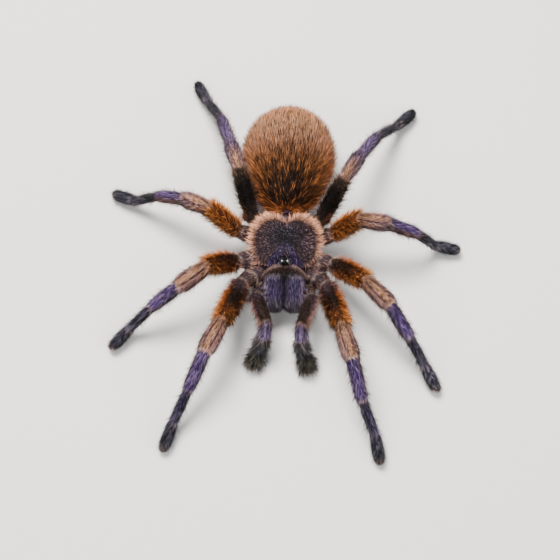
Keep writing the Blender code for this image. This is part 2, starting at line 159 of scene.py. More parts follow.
def read_limb(limb, kinds):
    """Segments of a limb from hip to tip, with the size of their flesh."""
    near = np.mean(node_box("carapace"), axis=0)
    joints = []
    for kind in kinds:
        ends = flat_ends(f"{limb}_{kind}")
        ends.sort(key=lambda end: np.linalg.norm(end - near))
        joints.append(ends[0] if not joints else (near + ends[0]) / 2)
        near = ends[1]
    tip_corners = node_corners(f"{limb}_tarsus")
    reach = np.linalg.norm(tip_corners - joints[-1], axis=1)
    joints.append(tip_corners[np.argsort(reach)[-12:]].mean(axis=0))
    segments = []
    for kind, start, end in zip(kinds, joints, joints[1:]):
        segment = make_segment(f"{limb}_{kind}", kind, limb, start, end, None)
        away = node_corners(segment.name) - start
        depth = PALP_COAT_DEPTH[kind] if "palp" in limb else LEG_COAT_DEPTH[kind]
        if segment.name.startswith("leg_4") and kind == "femur":
            depth = SLIM_FEMUR_DEPTH
        segment.sizes = (
            np.abs(away @ segment.across).max() - depth[0],
            np.abs(away @ segment.up).max() - depth[1])
        segments.append(segment)
    for near, far in zip(segments, segments[1:]):
        near.end_plane = far.start_plane = unit(near.axis + far.axis)
    return segments


SEGMENTS = {limb: read_limb(limb, kinds) for limb, kinds in LIMBS.items()}

FOVEA_SHARE = 0.539                    # how far back along the carapace its pit lies
CARAPACE_LOW, CARAPACE_HIGH = node_box("carapace")
FOVEA = np.array([
    (CARAPACE_LOW[0] + CARAPACE_HIGH[0]) / 2,
    CARAPACE_LOW[1] + FOVEA_SHARE * (CARAPACE_HIGH[1] - CARAPACE_LOW[1])])
MIDLINE = FOVEA[0]
ABDOMEN_LOW, ABDOMEN_HIGH = node_box("abdomen")
EYES_LOW, EYES_HIGH = node_box("eye_tubercle")

COXA_ROOT = (0.28, 0.48)               # shares of the way from the fovea to the hip
COXA_DROP = 1.6                        # how far its root lies below the hip
COXA_RADIUS = {"leg": 2.3, "palp": 1.5}


def read_coxa(limb):
    """Coxa and trochanter, which the solids join to the underside."""
    hip = SEGMENTS[limb][0].start
    root = np.array([
        MIDLINE + COXA_ROOT[0] * (hip[0] - MIDLINE),
        FOVEA[1] + COXA_ROOT[1] * (hip[1] - FOVEA[1]),
        hip[2] - COXA_DROP])
    half = COXA_RADIUS[limb.split("_")[0]]
    coxa = make_segment(f"{limb}_coxa", "coxa", limb, root, hip, (half, half))
    coxa.end_plane = SEGMENTS[limb][0].start_plane = unit(coxa.axis + SEGMENTS[limb][0].axis)
    return coxa


def read_chelicera(side):
    """Chelicera, from its root under the clypeus down to its tip, inside its node's box."""
    low, high = node_box(f"chelicera_{side}")
    middle = (low[0] + high[0]) / 2 - 0.15 * SIDES[side]
    start = np.array([middle, high[1] - 0.6, high[2] - 3.6])
    end = np.array([middle, low[1] + 1.7, low[2] + 2.4])
    sizes = ((high[0] - low[0]) / 2 - 0.05, 3.3)
    return make_segment(f"chelicera_{side}", "chelicera", f"chelicera_{side}", start, end, sizes)


def read_spinneret(side):
    """Tapering spinneret, rooted well inside the abdomen."""
    low, high = node_box(f"spinneret_{side}")
    sign = SIDES[side]
    start = np.array([low[0] + 0.6 if sign > 0 else high[0] - 0.6, low[1] - 2.6, high[2] - 0.5])
    end = np.array([high[0] - 0.6 if sign > 0 else low[0] + 0.6, high[1] - 0.2, low[2] + 0.6])
    return make_segment(f"spinneret_{side}", "spinneret", f"spinneret_{side}", start, end, (0.75, 0.7))


COXAE = [read_coxa(limb) for limb in LIMBS]
CHELICERAE = [read_chelicera(side) for side in SIDES]
SPINNERETS = [read_spinneret(side) for side in SIDES]
ALL_SEGMENTS = {s.name: s for segments in SEGMENTS.values() for s in segments}
ALL_SEGMENTS.update({s.name: s for s in COXAE + CHELICERAE + SPINNERETS})


# ---- the flesh under the skin ------------------------------------------------
class Flesh:
    """Closed shapes that the skin is drawn over, each with the name of its part."""

    def __init__(self):
        self.points = []
        self.faces = []
        self.names = []

    def add(self, name, points, faces):
        base = len(self.points)
        self.points += [tuple(point) for point in points]
        self.faces += [[base + i for i in face] for face in faces]
        self.names += [name] * len(points)

    def add_loft(self, name, rings):
        """Body through rings of equally many points, closed by a fan at each end."""
        count = len(rings[0])
        points = [point for ring in rings for point in ring]
        faces = []
        for k in range(len(rings) - 1):
            for i in range(count):
                j = (i + 1) % count
                faces.append([k * count + i, k * count + j, (k + 1) * count + j, (k + 1) * count + i])
        first, last = len(points), len(points) + 1
        points += [np.mean(rings[0], axis=0), np.mean(rings[-1], axis=0)]
        top = (len(rings) - 1) * count
        for i in range(count):
            j = (i + 1) % count
            faces.append([first, j, i])
            faces.append([last, top + i, top + j])
        self.add(name, points, faces)


def oval_ring(middle, across, up, count, squareness=1.0):
    """Points round a middle, on an oval with two half axes; under 1 its corners fill out."""
    points = []
    for turn in np.linspace(0.0, math.tau, count, endpoint=False):
        c, s = math.cos(turn), math.sin(turn)
        c = math.copysign(abs(c) ** squareness, c)
        s = math.copysign(abs(s) ** squareness, s)
        points.append(middle + across * c + up * s)
    return points


def station_rings(segment, stations, count, squareness=1.0, gap=None):
    """Rings round a segment's axis at shares of its length, kept off the midline by a gap."""
    rings = []
    for share, full in stations:
        middle = segment.start + segment.axis * segment.length * share
        points = oval_ring(
            middle, segment.across * segment.sizes[0] * full,
            segment.up * segment.sizes[1] * full, count, squareness)
        if gap is not None:
            side = math.copysign(1.0, middle[0] - MIDLINE)
            for point in points:
                point[0] = MIDLINE + side * max(side * (point[0] - MIDLINE), gap)
        rings.append(points)
    return rings


def segment_rings(segment, overrun=0.8):
    """Rings of a limb segment's flesh, with a rounded end that runs into its neighbours."""
    shares, fullness = FLESH[segment.kind]
    end_reach = overrun * min(segment.sizes) / segment.length
    stations = [(-end_reach, 0.35), (-0.75 * end_reach, 0.70), (-0.35 * end_reach, 0.93)]
    stations = [(s, k * fullness[0]) for s, k in stations]
    stations += [(s, np.interp(s, shares, fullness)) for s in np.linspace(0.0, 1.0, 11)]
    if segment.kind == "tarsus":
        stations[-1:] = [(0.97, 0.62), (1.0, 0.40)]
    else:
        stations += [
            (1.0 + 0.35 * end_reach, 0.93 * fullness[-1]),
            (1.0 + 0.75 * end_reach, 0.70 * fullness[-1]), (1.0 + end_reach, 0.35 * fullness[-1])]
    return station_rings(segment, stations, 20)


# how full they are at places along them: share of the length, share of the thickness
CHELICERA_STATIONS = (
    (-0.14, 0.70), (-0.05, 0.93), (0.06, 0.99), (0.30, 1.0), (0.60, 1.0), (0.80, 1.0),
    (0.94, 0.96), (1.02, 0.86), (1.07, 0.60))
SPINNERET_STATIONS = (
    (0.0, 1.0), (0.35, 1.0), (0.52, 0.95), (0.58, 0.78), (0.64, 0.86), (0.85, 0.72),
    (0.96, 0.48), (1.0, 0.2))
CLYPEUS_HALF = 6.75                    # half the width of the fold over the chelicerae


def clypeus_middle(across):
    """Middle of the fold over the chelicerae's roots, with across from -1 to 1."""
    drop = np.abs(across) ** 3.2
    return np.stack([
        MIDLINE + CLYPEUS_HALF * across, CARAPACE_LOW[1] + 1.15 - 2.8 * drop,
        EYES_LOW[2] - 1.05 - 2.5 * drop], axis=-1)


def clypeus_rings():
    """The fold across the front of the carapace, over the roots of the chelicerae."""
    rings = []
    for across in np.linspace(-1.0, 1.0, 25):
        radius = 0.95 * (1.0 - 0.35 * abs(across) ** 4)
        ahead = unit(np.array([-0.35 * across, -1.0, 0.0]))
        up = np.array([0.0, 0.0, 1.25 * radius])
        rings.append(oval_ring(clypeus_middle(across), ahead * radius, up, 14))
    return rings


def rostrum_rings():
    """The soft face between the roots of the chelicerae, under the clypeus."""
    centre = np.array([MIDLINE, CARAPACE_LOW[1] - 0.6, CARAPACE_LOW[2] + 0.2])
    half = np.array([3.6, 1.4, 1.9])
    rings = []
    for level in np.linspace(-0.95, 0.95, 9):
        full = math.sqrt(1.0 - level * level)
        middle = centre + half * (0.0, 0.0, level)
        rings.append(oval_ring(middle, half * (full, 0.0, 0.0), half * (0.0, full, 0.0), 16))
    return rings


ABDOMEN_DEPTH = 1.7                    # the coat over the abdomen
ABDOMEN_WIDEST = 0.542                 # share of its length from the front
ABDOMEN_FRONT_DROP = 2.5               # its axis starts lower at the pedicel
ABDOMEN_REAR_DROP = 0.7
ABDOMEN_FRONT_DEPTH = 0.5              # its coat is thinner against the carapace
ABDOMEN_SHOULDERS = 2.15               # over 2, its front is squarer than an oval


def abdomen_section(share):
    """Middle and half sizes of the abdomen's flesh at a share of its length."""
    low, high = ABDOMEN_LOW + ABDOMEN_DEPTH, ABDOMEN_HIGH - ABDOMEN_DEPTH
    low[1] = ABDOMEN_LOW[1] + ABDOMEN_FRONT_DEPTH
    if share < ABDOMEN_WIDEST:
        away = 1.0 - share / ABDOMEN_WIDEST
        full = (1.0 - away ** ABDOMEN_SHOULDERS) ** (1 / ABDOMEN_SHOULDERS)
        drop = ABDOMEN_FRONT_DROP * (1.0 - math.sin(share / ABDOMEN_WIDEST * math.pi / 2))
    else:
        away = (share - ABDOMEN_WIDEST) / (1.0 - ABDOMEN_WIDEST)
        full = math.sqrt(max(1.0 - away ** 2, 0.0))
        drop = ABDOMEN_REAR_DROP * away ** 2
    middle = (low + high) / 2
    centre = np.array([middle[0], low[1] + (high[1] - low[1]) * share, middle[2] - drop])
    half = (high - low) / 2 * max(full, 0.03)
    return centre, half


def abdomen_rings(count=44):
    """Rings round the abdomen's axis, closer together towards its ends."""
    rings = []
    for k in range(count):
        centre, half = abdomen_section((1.0 - math.cos(math.pi * (k + 0.5) / count)) / 2)
        rings.append(oval_ring(centre, half * (0.0, 0.0, 1.0), half * (1.0, 0.0, 0.0), 56))
    return rings


def add_shrunk_node(flesh, node, depth, shrink=(1.0, 1.0), levels=1):
    """A CAD node drawn in by the coat's depth, and narrowed in plan about the fovea."""
    shape = bmesh.new()
    shape.from_mesh(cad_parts[node].data)
    bmesh.ops.remove_doubles(shape, verts=shape.verts, dist=1e-6)
    bmesh.ops.scale(shape, vec=(1 / MM,) * 3, verts=shape.verts)
    bmesh.ops.dissolve_limit(
        shape, angle_limit=math.radians(1.0), verts=shape.verts, edges=shape.edges)
    body = new_object("flesh", finished_mesh(shape, "flesh"))
    if levels:
        finer = body.modifiers.new("finer", "SUBSURF")
        finer.levels = finer.render_levels = levels
    fine = evaluated_mesh(body)
    points, normals = mesh_points(fine), mesh_normals(fine)
    points -= normals * depth
    points[:, 0] = FOVEA[0] + (points[:, 0] - FOVEA[0]) * shrink[0]
    points[:, 1] = FOVEA[1] + (points[:, 1] - FOVEA[1]) * shrink[1]
    flesh.add(node, points, [list(face.vertices) for face in fine.polygons])
    bpy.data.objects.remove(body)


def gather_flesh():
    """All that the skin is drawn over, each part thinner than its solid by its coat."""
    flesh = Flesh()
    for segments in SEGMENTS.values():
        for segment in segments:
            flesh.add_loft(segment.name, segment_rings(segment))
    flesh.add_loft("abdomen", abdomen_rings())
    add_shrunk_node(flesh, "carapace", 0.45, (0.87, 0.90))
    add_shrunk_node(flesh, "eye_tubercle", 0.25, levels=0)
    add_shrunk_node(flesh, "prosoma_underside", 0.45)
    add_shrunk_node(flesh, "pedicel", 0.2)
    for chelicera in CHELICERAE:
        rings = station_rings(chelicera, CHELICERA_STATIONS, 28, squareness=0.80, gap=0.22)
        flesh.add_loft(chelicera.name, rings)
    for spinneret in SPINNERETS:
        flesh.add_loft(spinneret.name, station_rings(spinneret, SPINNERET_STATIONS, 12))
    flesh.add_loft("clypeus", clypeus_rings())
    flesh.add_loft("rostrum", rostrum_rings())
    for coxa in COXAE:                      # bridges each hip to the body
        bridge = make_segment(coxa.name, "tibia", coxa.limb, coxa.start, coxa.end, coxa.sizes)
        flesh.add_loft("prosoma_underside", segment_rings(bridge, overrun=1.2))
    return flesh


def draw_skin(flesh):
    """One closed skin over all the flesh, with the name of the part under each vertex."""
    mesh = bpy.data.meshes.new("skin")
    mesh.from_pydata(flesh.points, [], flesh.faces)
    body = new_object("skin", mesh)
    wrap = body.modifiers.new("wrap", "REMESH")
    wrap.mode = "VOXEL"
    wrap.voxel_size = SKIN_VOXEL
    relax = body.modifiers.new("relax", "SMOOTH")
    relax.factor = 0.5
    relax.iterations = SKIN_SMOOTHING
    skin = evaluated_mesh(body)
    bpy.data.objects.remove(body)
    tree = KDTree(len(flesh.points))
    for i, point in enumerate(flesh.points):
        tree.insert(point, i)
    tree.balance()
    names = [flesh.names[tree.find(point)[1]] for point in mesh_points(skin)]
    return skin, np.array(names)


# ---- places on the skin ------------------------------------------------------
PEDICEL_PLATE = 1.1                    # radius of the plate where the pedicel meets the abdomen
COXA_SHARE = 0.3                       # share of a coxa's length that is the sternum's
COXA_REACH = 0.35                      # how far off its flesh the skin may be
STREAK_LENGTH = 4.0                    # streaks of the coat are this much longer than wide
STREAK_STEP = 7.3                      # keeps one part's streaks from repeating on the next


class Places:
    """For each vertex: its part, how far along it is (0 to 1) and how far round (0 is on top)."""

    def __init__(self, skin, names):
        self.points = mesh_points(skin)
        self.normals = mesh_normals(skin)
        self.names = names
        self.along = np.zeros(len(names))
        self.round = np.zeros(len(names))
        self.lie = np.zeros((len(names), 3))
        self.strand = np.zeros((len(names), 3))
        self.find_coxae()
        self.settle_joints()
        plate = (self.points - abdomen_section(0.0)[0]) * (1.0, 0.4, 0.75)
        self.names[(np.linalg.norm(plate, axis=1) < PEDICEL_PLATE) & (names == "abdomen")] = "pedicel"
        self.parts = sorted(set(self.names))
        for number, part in enumerate(self.parts):
            mask = self.names == part
            along, turn, lie = locate(part, self.points[mask])
            self.along[mask] = along
            self.round[mask] = turn
            self.lie[mask] = lie
            radius, length = PART_SIZES.get(part_kind(part), (2.0, 8.0))
            self.strand[mask] = np.column_stack([
                turn * radius, along * length / STREAK_LENGTH,
                np.full(len(turn), STREAK_STEP * number)])
        flat = self.normals * np.sum(self.lie * self.normals, axis=1)[:, None]
        self.lie -= flat
        self.lie /= np.maximum(np.linalg.norm(self.lie, axis=1), 1e-6)[:, None]

    def find_coxae(self):
        """Gives the skin round each coxa its own name, as the solids have one underside."""
        under = np.flatnonzero(self.names == "prosoma_underside")
        points = self.points[under]
        best = np.full(len(under), COXA_REACH)
        for coxa in COXAE:
            away = points - coxa.start
            along = away @ coxa.axis
            nearest = coxa.start + np.outer(np.clip(along, 0, coxa.length), coxa.axis)
            beyond = np.linalg.norm(points - nearest, axis=1) - coxa.sizes[0]
            nearer = (beyond < best) & (along > COXA_SHARE * coxa.length)
            self.names[under[nearer]] = coxa.name
            best = np.where(nearer, beyond, best)

    def settle_joints(self):
        """Gives each vertex near a joint to the segment on its side of the joint's plane."""
        for coxa in COXAE:
            chain = [coxa] + SEGMENTS[coxa.limb]
            masks = [self.names == segment.name for segment in chain]
            for k, segment in enumerate(chain):
                points = self.points[masks[k]]
                names = self.names[masks[k]]
                if k + 1 < len(chain):
                    beyond = (points - segment.end) @ segment.end_plane > 0
                    names[beyond] = chain[k + 1].name
                if k > 0:
                    short = (points - segment.start) @ segment.start_plane < 0
                    names[short] = chain[k - 1].name
                self.names[masks[k]] = names


def place_on_segment(segment, points):
    """Along runs from one joint's plane to the next, so it also holds where a joint bends."""
    away = points - segment.start
    turn = np.arctan2(away @ segment.across, away @ segment.up)
    before = away @ segment.start_plane
    after = (segment.end - points) @ segment.end_plane
    along = before / np.maximum(before + after, 1e-3)
    return np.clip(along, -0.2, 1.2), turn, np.tile(segment.axis, (len(points), 1))


def rim_table(bins=120):
    """Distance from the fovea to the carapace's rim, in equal steps of direction."""
    reach = np.zeros(bins)
    steps = np.linspace(0.0, 1.0, 15)[:, None]
    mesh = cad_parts["carapace"].data
    flat = mesh_points(mesh)[:, :2] / MM - FOVEA
    for edge in mesh.edges:
        a, b = flat[edge.vertices[0]], flat[edge.vertices[1]]
        along = a + (b - a) * steps
        index = ((np.arctan2(along[:, 0], along[:, 1]) / math.tau) % 1.0 * bins).astype(int) % bins
        np.maximum.at(reach, index, np.linalg.norm(along, axis=1))
    for _ in range(3):
        reach = (np.roll(reach, 1) + 2.0 * reach + np.roll(reach, -1)) / 4.0
    return reach


RIM = rim_table()


def rim_radius(turns):
    bins = len(RIM)
    return np.interp((turns / math.tau) % 1.0 * bins - 0.5, np.arange(bins), RIM, period=bins)


def locate(part, points):
    """Along, round and lie of the coat for points of one part."""
    if part in ALL_SEGMENTS:
        return place_on_segment(ALL_SEGMENTS[part], points)
    rearward = np.tile((0.0, 1.0, 0.0), (len(points), 1))
    if part == "abdomen":
        share = (points[:, 1] - ABDOMEN_LOW[1]) / (ABDOMEN_HIGH[1] - ABDOMEN_LOW[1])
        middle = np.array([abdomen_section(s)[0] for s in np.clip(share, 0.0, 1.0)])
        return share, np.arctan2(points[:, 0] - middle[:, 0], points[:, 2] - middle[:, 2]), rearward
    away = points[:, :2] - FOVEA
    turn = np.arctan2(away[:, 0], away[:, 1])
    share = np.linalg.norm(away, axis=1) / rim_radius(turn)
    outward = np.column_stack([away, np.full(len(points), -1.5)])
    if part in ("carapace", "eye_tubercle"):
        return share, turn, outward
    if part == "clypeus":
        across = (points[:, 0] - MIDLINE) / CLYPEUS_HALF
        away = points - clypeus_middle(across)
        ahead = np.tile((0.0, -0.5, -1.0), (len(points), 1))
        return (across + 1) / 2, np.arctan2(-away[:, 1], away[:, 2]), ahead
    return share, turn, rearward


# ---- markings ----------------------------------------------------------------
def linear(hex_colour):
    """sRGB hex to linear red, green and blue."""
    srgb = np.array([int(hex_colour[i:i + 2], 16) / 255 for i in (0, 2, 4)])
    return np.where(srgb <= 0.04045, srgb / 12.92, ((srgb + 0.055) / 1.055) ** 2.4)


COLOURS = {name: linear(code) for name, code in {
    "soot": "0b0705", "bark": "231409", "umber": "46352b", "russet": "5a2c10", "rust": "98562a",
    "amber": "bc7838", "copper": "b8703e", "salmon": "cf9468", "tan": "b08062", "dun": "8d6f68",
    "rose": "d09a80", "cream": "dcbfae",
    "plum": "22161c", "shadow": "3a2c35", "mauve": "5f4a55", "grape": "4d3f55",
    "deep violet": "2c2048", "chelicera violet": "3b2f56", "violet": "5a3f82",
    "dusk violet": "63527a", "lilac": "94809c", "haze": "75667a", "indigo": "2a2434",
    "ink": "0e0b11", "slate": "32313f", "flint": "443f44", "pewter": "6c6b76",
    "olive": "45423a", "ash": "7a706c"}.items()}


def ramp(values, start, end):
    """0 below start, 1 above end, and smooth between."""
    t = np.clip((values - start) / (end - start), 0.0, 1.0)
    return t * t * (3.0 - 2.0 * t)


def band(values, middle, half, soft):
    """1 within half of middle, fading over soft."""
    return 1.0 - ramp(np.abs(values - middle), half, half + soft)


def lay(colour, name, strength):
    """Lays a named colour over others, with one strength or one for each place."""
    colour += (COLOURS[name] - colour) * np.reshape(strength, (-1, 1))


def paint(base, *layers):
    """Colours laid over a base one after another, each with its own strength."""
    colour = np.tile(COLOURS[base], (max(np.size(strength) for _, strength in layers), 1))
    for name, strength in layers:
        lay(colour, name, strength)
    return colour


def lit(shade, *colours):
    """Colours made lighter or darker from place to place: the painted light and shade of the marks below,
    and some changes of tone.
    """
    return [colour * shade[:, None] for colour in colours]


def gradient(values, stops):
    """Colours that pass through stops of (value, sRGB hex)."""
    places = [value for value, _ in stops]
    codes = np.array([linear(code) for _, code in stops])
    return np.column_stack([np.interp(values, places, codes[:, i]) for i in range(3)])


def joint_ring(s, off, limb):
    """The thin pale ring at a segment's end, fainter on the third leg."""
    return ramp(s, 0.95, 0.98) * (1.0 - ramp(off, 60, 100)) * (0.4 if "leg_3" in limb else 1.0)


# Each of the functions that follow gives the down's colour, the long hairs' colour and the share
# of dark hairs.  A place says how far along its part it is (s, 0 to 1) and how many degrees from
# the top: off on either side, and front positive on the side of a limb that faces ahead.
def femur_marks(place):
    """Rust with a dark band ahead on the first two legs, brown palps and near-black fourth legs."""
    s, off, front, limb = place.s, place.off, place.front, place.part
    rim = ramp(s, 0.97, 1.0)
    below = ramp(off, 120, 165)
    first = 1.0 - ramp(s, 0.05, 0.38)
    last = ramp(s, 0.60, 0.95)
    if "leg_4" in limb:
        ends = np.maximum(first, last)
        warm = first * ramp(front, 20, 50)
        down = paint("soot", ("bark", 0.6 * ramp(off, 40, 90)), ("umber", 0.5 * ends),
                     ("tan", 0.6 * rim))
        guard = paint("bark", ("umber", 0.5 * ramp(off, 50, 90)), ("mauve", 0.4 * first),
                      ("umber", 0.9 * last), ("copper", 0.45 * warm))
        return down, guard * (1.0 + 1.8 * last)[:, None], 0.45 - 0.15 * last
    if "palp" in limb:
        outer = ramp(-front, 52, 88)
        down = paint("umber", ("bark", 0.7 * band(front, 10, 30, 30)), ("mauve", 0.6 * first),
                     ("tan", rim))
        guard = paint("umber", ("mauve", 0.8 * (1.0 - last)), ("rose", 0.45 * outer))
        return down, guard * 1.15, 0.42
    if "leg_1" in limb:
        dark = band(front, 25, 36, 26) * (1.0 - 0.95 * ramp(s, 0.5, 0.85)) * (0.8 + 0.2 * ramp(s, 0, 0.3))
        dark = np.maximum(dark, 0.75 * ramp(front, 0, 60) * (1.0 - 0.6 * ramp(s, 0.7, 0.95)))
    elif "leg_2" in limb:
        dark = 0.85 * band(front, 10, 26, 32) * (1.0 - 0.8 * ramp(s, 0.4, 0.9))
    else:
        dark = 0.12 * band(front, 5, 14, 30) * ramp(s, 0.1, 0.3) * (1.0 - ramp(s, 0.55, 0.95))
    third = "leg_3" in limb
    dusty = 0.6 * first if "leg_1" in limb else 0.0
    down = paint("russet", ("bark", dark), ("soot", 0.5 * dark), ("bark", 0.8 * below),
                 ("umber", 0.5 * first), ("mauve", dusty), ("tan", rim))
    guard = paint("rust", ("amber", np.maximum(0.7 * last, 0.5 * third)), ("bark", 0.75 * dark),
                  ("bark", 0.5 * below), ("dun", first * (0.2 if third else 0.8)),
                  ("mauve", dusty), ("salmon", 0.25 * third * ramp(front, 60, 90)))
    # painted shade on the side that faces ahead, strongest on the first leg, and towards the far end on
    # the first and third legs
    shade = (1.15 if third else 1.0) - (0.55 if "leg_1" in limb else 0.40) * ramp(front, 25, 50)
    if third or "leg_1" in limb:
        shade = shade - 0.2 * ramp(front, 25, 50) * last
    return *lit(shade, down, guard), 0.34 + 0.3 * dark


def patella_stripes(s, off):
    """Two lines that bow apart along the patella's top."""
    run = ramp(s, 0.03, 0.12) * (1.0 - ramp(s, 0.80, 0.92))
    return band(off, 21 + 8 * np.sin(s * math.pi), 2.0, 5) * run


def patella_marks(place):
    """Tan and rose with two dark stripes, mauve flanks and pale ends; the palps' are violet."""
    s, off, front, limb = place.s, place.off, place.front, place.part
    stripes = patella_stripes(s, off)
    rim = ramp(s, 0.93, 0.985)
    edge = 1.0 - ramp(s, 0.0, 0.035)
    flank = ramp(off, 48, 85)
    below = ramp(off, 110, 150)
    first = 1.0 - ramp(s, 0.05, 0.40)
    if "palp" in limb:
        colours = [paint(base, ("deep violet", 0.7 * stripes), ("lilac", 0.5 * band(off, 0, 8, 8)),
                         ("mauve", 0.4 * flank), ("dun", 0.5 * first),
                         ("cream", 0.7 * np.maximum(rim, edge)))
                   for base in ("dusk violet", "haze")]
        return *lit(0.85 + 0.3 * ramp(s, 0.2, 0.5), *colours), 0.35
    if "leg_4" in limb:
        away = np.maximum(ramp(off, 24, 50), ramp(s, 0.45, 0.85))
        colours = [paint(base, ("lilac", 0.25 * ramp(s, 0.25, 0.5) + 0.5 * away),
                         ("violet", 0.55 * ramp(s, 0.5, 1.0)),
                         ("deep violet", 0.6 * stripes), ("mauve", 0.5 * flank),
                         ("cream", 0.6 * edge), ("cream", 0.3 * rim)) for base in ("tan", "rose")]
        # painted shade on the flanks, and darker towards the far end
        shade = 0.82 - 0.22 * ramp(s, 0.3, 0.8) - 0.12 * ramp(off, 30, 60)
        return *lit(shade, *colours), 0.32
    behind = ramp(-front, 25, 50)
    third = "leg_3" in limb
    cool = 0.3 * ramp(off, 15, 45) * ramp(s, 0.2, 0.5) + (0.25 * ramp(s, 0.5, 0.8) if third else 0.0)
    colours = [paint(base, ("lilac", cool), ("umber", 0.45 * first * (1.0 - behind)),
                     ("deep violet", stripes), ("mauve", 0.65 * flank), ("bark", 0.7 * below),
                     ("cream", 0.8 * rim), ("rose", edge)) for base in ("tan", "rose")]
    # painted light and shade by side: the flanks and the side facing back darker, parts of the side
    # facing ahead lighter, differing from leg to leg
    shade = 1.0 - 0.15 * ramp(off, 30, 60) - 0.15 * first * (1.0 - 2.0 * behind)
    if third:
        shade = shade - (0.25 + 0.25 * ramp(front, 25, 50)) * ramp(s, 0.6, 0.9)
        shade = shade + 0.3 * behind * band(s, 0.5, 0.15, 0.1)
    else:
        shade = shade - 0.50 * behind * ramp(s, 0.35, 0.75)
    if "leg_1" in limb:
        shade = shade + 0.3 * ramp(front, 25, 50) * ramp(s, 0.6, 0.8)
    if "leg_2" in limb:
        shade = shade + 0.35 * ramp(front, 25, 50) * first
    return *lit(shade, *colours), 0.26 + 0.4 * stripes


def tibia_marks(place):
    """Violet with two dark lines, mauve flanks and a pale ring; the palps' are slate and ash."""
    s, off, front, limb = place.s, place.off, place.front, place.part
    if "palp" in limb:
        down = paint("haze", ("slate", np.maximum(ramp(off, 50, 100), ramp(s, 0.0, 0.5))))
        guard = paint("ash", ("pewter", 0.7 * ramp(s, 0.0, 0.5)))
        return *lit(0.8 - 0.45 * ramp(s, -0.05, 0.2), down, guard), 0.4
    pale = joint_ring(s, off, limb)
    below = ramp(off, 105, 145)
    flank = ramp(off, 38, 75)
    lines = band(off, 24, 3, 7)
    rear = "leg_4" in limb
    behind = ramp(-front, 20, 50)
    warm = ramp(front, 30, 60) if "leg_3" in limb else ramp(-front, 30, 60)
    if "leg_1" in limb:
        flank = flank * (1.0 - 0.5 * ramp(front, 30, 60))
    down = paint("violet", ("lilac", 0.35 if rear else 0.0), ("deep violet", 0.7 * lines),
                 ("mauve", 0.75 * flank), ("tan", 0.5 * warm), ("bark", 0.6 * below),
                 ("cream", 0.7 * pale))
    guard = paint("lilac", ("violet", 0.4 * band(off, 0, 30, 20)), ("mauve", 0.8 * flank),
                  ("tan", 0.5 * warm), ("mauve", 0.5 * ramp(s, 0.5, 0.9) if "leg_3" in limb else 0.0),
                  ("cream", 0.55 * pale))
    # painted shade on the flanks and on the side facing back, and darker near the start
    shade = 1.0 - 0.20 * (1.0 - ramp(s, 0.2, 0.6)) - 0.25 * ramp(off, 30, 60) - 0.38 * behind
    if "leg_1" in limb or "leg_2" in limb:
        shade = shade - 0.25 * behind * ramp(s, 0.5, 0.9)
    if "leg_3" in limb:
        shade = shade * (0.72 + 0.18 * ramp(s, 0.2, 0.5))
    if rear:
        shade = 0.90 - 0.45 * ramp(s, 0.3, 0.9) - 0.35 * ramp(off, 30, 60)
    return *lit(shade, down, guard), 0.36


def metatarsus_marks(place):
    """Indigo down under pewter hairs, more violet near its start, with a pale ring at its end."""
    s, off, limb = place.s, place.off, place.part
    middle = band(off, 0, 8, 10)
    upper = (1.0 - ramp(s, 0.15, 0.75)) * (0.3 if "leg_3" in limb or "leg_4" in limb else 1.0)
    down = paint("indigo", ("violet", 0.5 * upper * (1.0 - ramp(off, 30, 60))),
                 ("deep violet", 0.5 * band(off, 22, 5, 6)), ("slate", ramp(s, 0.3, 0.8)),
                 ("haze", 0.5 * ramp(s, 0.75, 1.0)))
    ahead_pair = 1.0 if "leg_1" in limb else 0.35 if "leg_2" in limb else 0.0
    guard = paint("pewter", ("lilac", 0.4 * middle * upper), ("dun", 0.3 * ramp(off, 50, 100)),
                  ("violet", 0.35 * ahead_pair * (1.0 - ramp(off, 30, 60))),
                  ("lilac", 0.3 * ramp(s, 0.75, 1.0)), ("cream", 0.5 * joint_ring(s, off, limb)))
    shade = {"leg_1": 0.66, "leg_2": 0.52, "leg_3": 0.28, "leg_4": 0.32}[limb[:5]]
    # painted shade on the flanks of the first two legs, and painted light on the lit side of the third
    # leg's metatarsus
    if "leg_1" in limb or "leg_2" in limb:
        shade = shade * (1.0 - 0.35 * ramp(off, 30, 60) * (1.0 - ramp(s, 0.4, 0.7)))
    if "leg_1" in limb:
        shade = shade * (1.0 - 0.3 * (1.0 - ramp(s, 0.25, 0.5)))
    if "leg_3" in limb:
        lit_side = ramp(place.front, 30, 60) * ramp(s, 0.2, 0.4)
        shade = shade * (0.6 + 0.4 * ramp(s, 0.15, 0.4) + 3.2 * lit_side)
    bright, share = (1.05, 0.7) if ahead_pair else (0.9, 0.6)
    shade = shade + (bright - shade) * share * ramp(s, 0.5, 1.0)
    return *lit(shade, down, guard), 0.42


